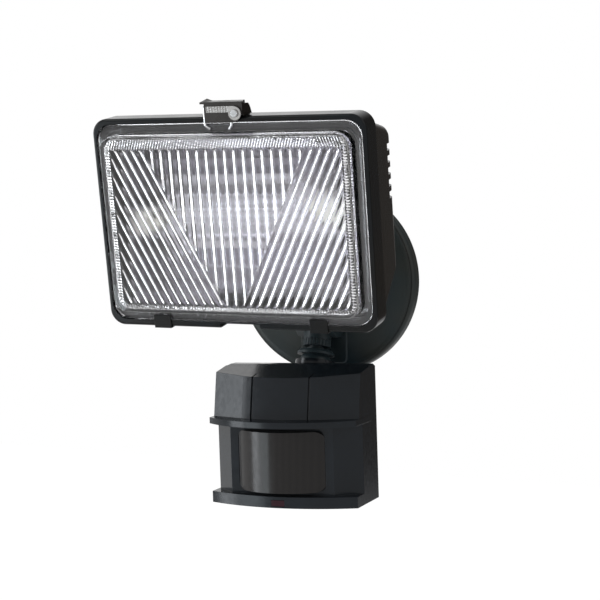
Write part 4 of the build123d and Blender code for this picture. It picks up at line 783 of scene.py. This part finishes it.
class SECURITYLIGHT_OT_sensor(Operator):
    """Finish the sensor's shells, window, controls and board"""
    bl_idname = "securitylight.sensor"
    bl_label = "Sensor"

    def execute(self, context):
        settings = context.scene.securitylight_sensor
        shell = moulded_plastic("sensor_shell", settings.shell, settings.roughness)
        finish_nodes(shell, "sensor_rear_shell", "sensor_front_shell", "socket_clamp")
        finish_nodes(self.window(settings), "sensor_lens")
        red = moulded_plastic("indicator_window", settings.indicator, 0.15)
        finish_nodes(red, "led_window")
        finish_nodes(circuit_laminate("board_laminate", (0.3, 0.2, 0.08)), "circuit_board")
        finish_nodes(moulded_plastic("component_plastic", (0.02, 0.02, 0.022), 0.4),
                     "board_components")
        finish_nodes(moulded_plastic("post_plastic", (0.03, 0.03, 0.03), 0.45), "board_posts")
        finish_nodes(plated_steel("sensor_can", (0.75, 0.72, 0.62), 0.25), "heat_sensor")
        finish_nodes(fired_ceramic("photocell_face", (0.5, 0.2, 0.08)), "photocell")
        grey = moulded_plastic("control_plastic", (0.5, 0.5, 0.5), 0.4)
        finish_nodes(grey, "range_dial", "time_switch")
        return {"FINISHED"}

    @staticmethod
    def window(settings):
        """Smoky heat window: polished outside, with faint upright ribs moulded behind it."""
        made = Finish("smoky_window", settings.window, 0.2)
        made.mirror(0.22)
        ribs = made.bands(BAND_WAVE / settings.segment_pitch, "X")
        made.colour(made.blend(ribs, scaled(settings.window, 0.92), scaled(settings.window, 1.1)))
        made.roughness(made.spread(made.noise(300.0), *MOST, 0.17, 0.26))
        made.bump(ribs, 10.0 * MICRON)
        made.bump(made.noise(1500.0, 2.0), 6.0 * MICRON)
        return made.material


class SECURITYLIGHT_PT_panel(Panel):
    """Lists the settings and the operators"""
    bl_idname = "SECURITYLIGHT_PT_panel"
    bl_label = "Security Light"
    bl_space_type = "VIEW_3D"
    bl_region_type = "UI"
    bl_category = "Security Light"

    def draw(self, context):
        for group in GROUPS:
            settings = getattr(context.scene, group)
            box = self.layout.box()
            for name in settings.__annotations__:
                box.prop(settings, name)
        for operator in STEPS:
            self.layout.operator(operator.bl_idname)


GROUPS = {
    "securitylight_studio": StudioSettings,
    "securitylight_paint": PaintSettings,
    "securitylight_glass": GlassSettings,
    "securitylight_metal": MetalSettings,
    "securitylight_sensor": SensorSettings,
}
STEPS = (SECURITYLIGHT_OT_studio, SECURITYLIGHT_OT_castings, SECURITYLIGHT_OT_glass,
         SECURITYLIGHT_OT_lamp_room, SECURITYLIGHT_OT_latch, SECURITYLIGHT_OT_fasteners,
         SECURITYLIGHT_OT_seals, SECURITYLIGHT_OT_sensor)
CLASSES = (*GROUPS.values(), *STEPS, SECURITYLIGHT_PT_panel)


def register():
    for cls in CLASSES:
        bpy.utils.register_class(cls)
    for name, group in GROUPS.items():
        setattr(bpy.types.Scene, name, PointerProperty(type=group))


def unregister():
    for name in GROUPS:
        delattr(bpy.types.Scene, name)
    for cls in reversed(CLASSES):
        bpy.utils.unregister_class(cls)


def main():
    register()
    for step in STEPS:
        area, name = step.bl_idname.split(".")
        getattr(getattr(bpy.ops, area), name)()


if __name__ == "__main__":
    main()
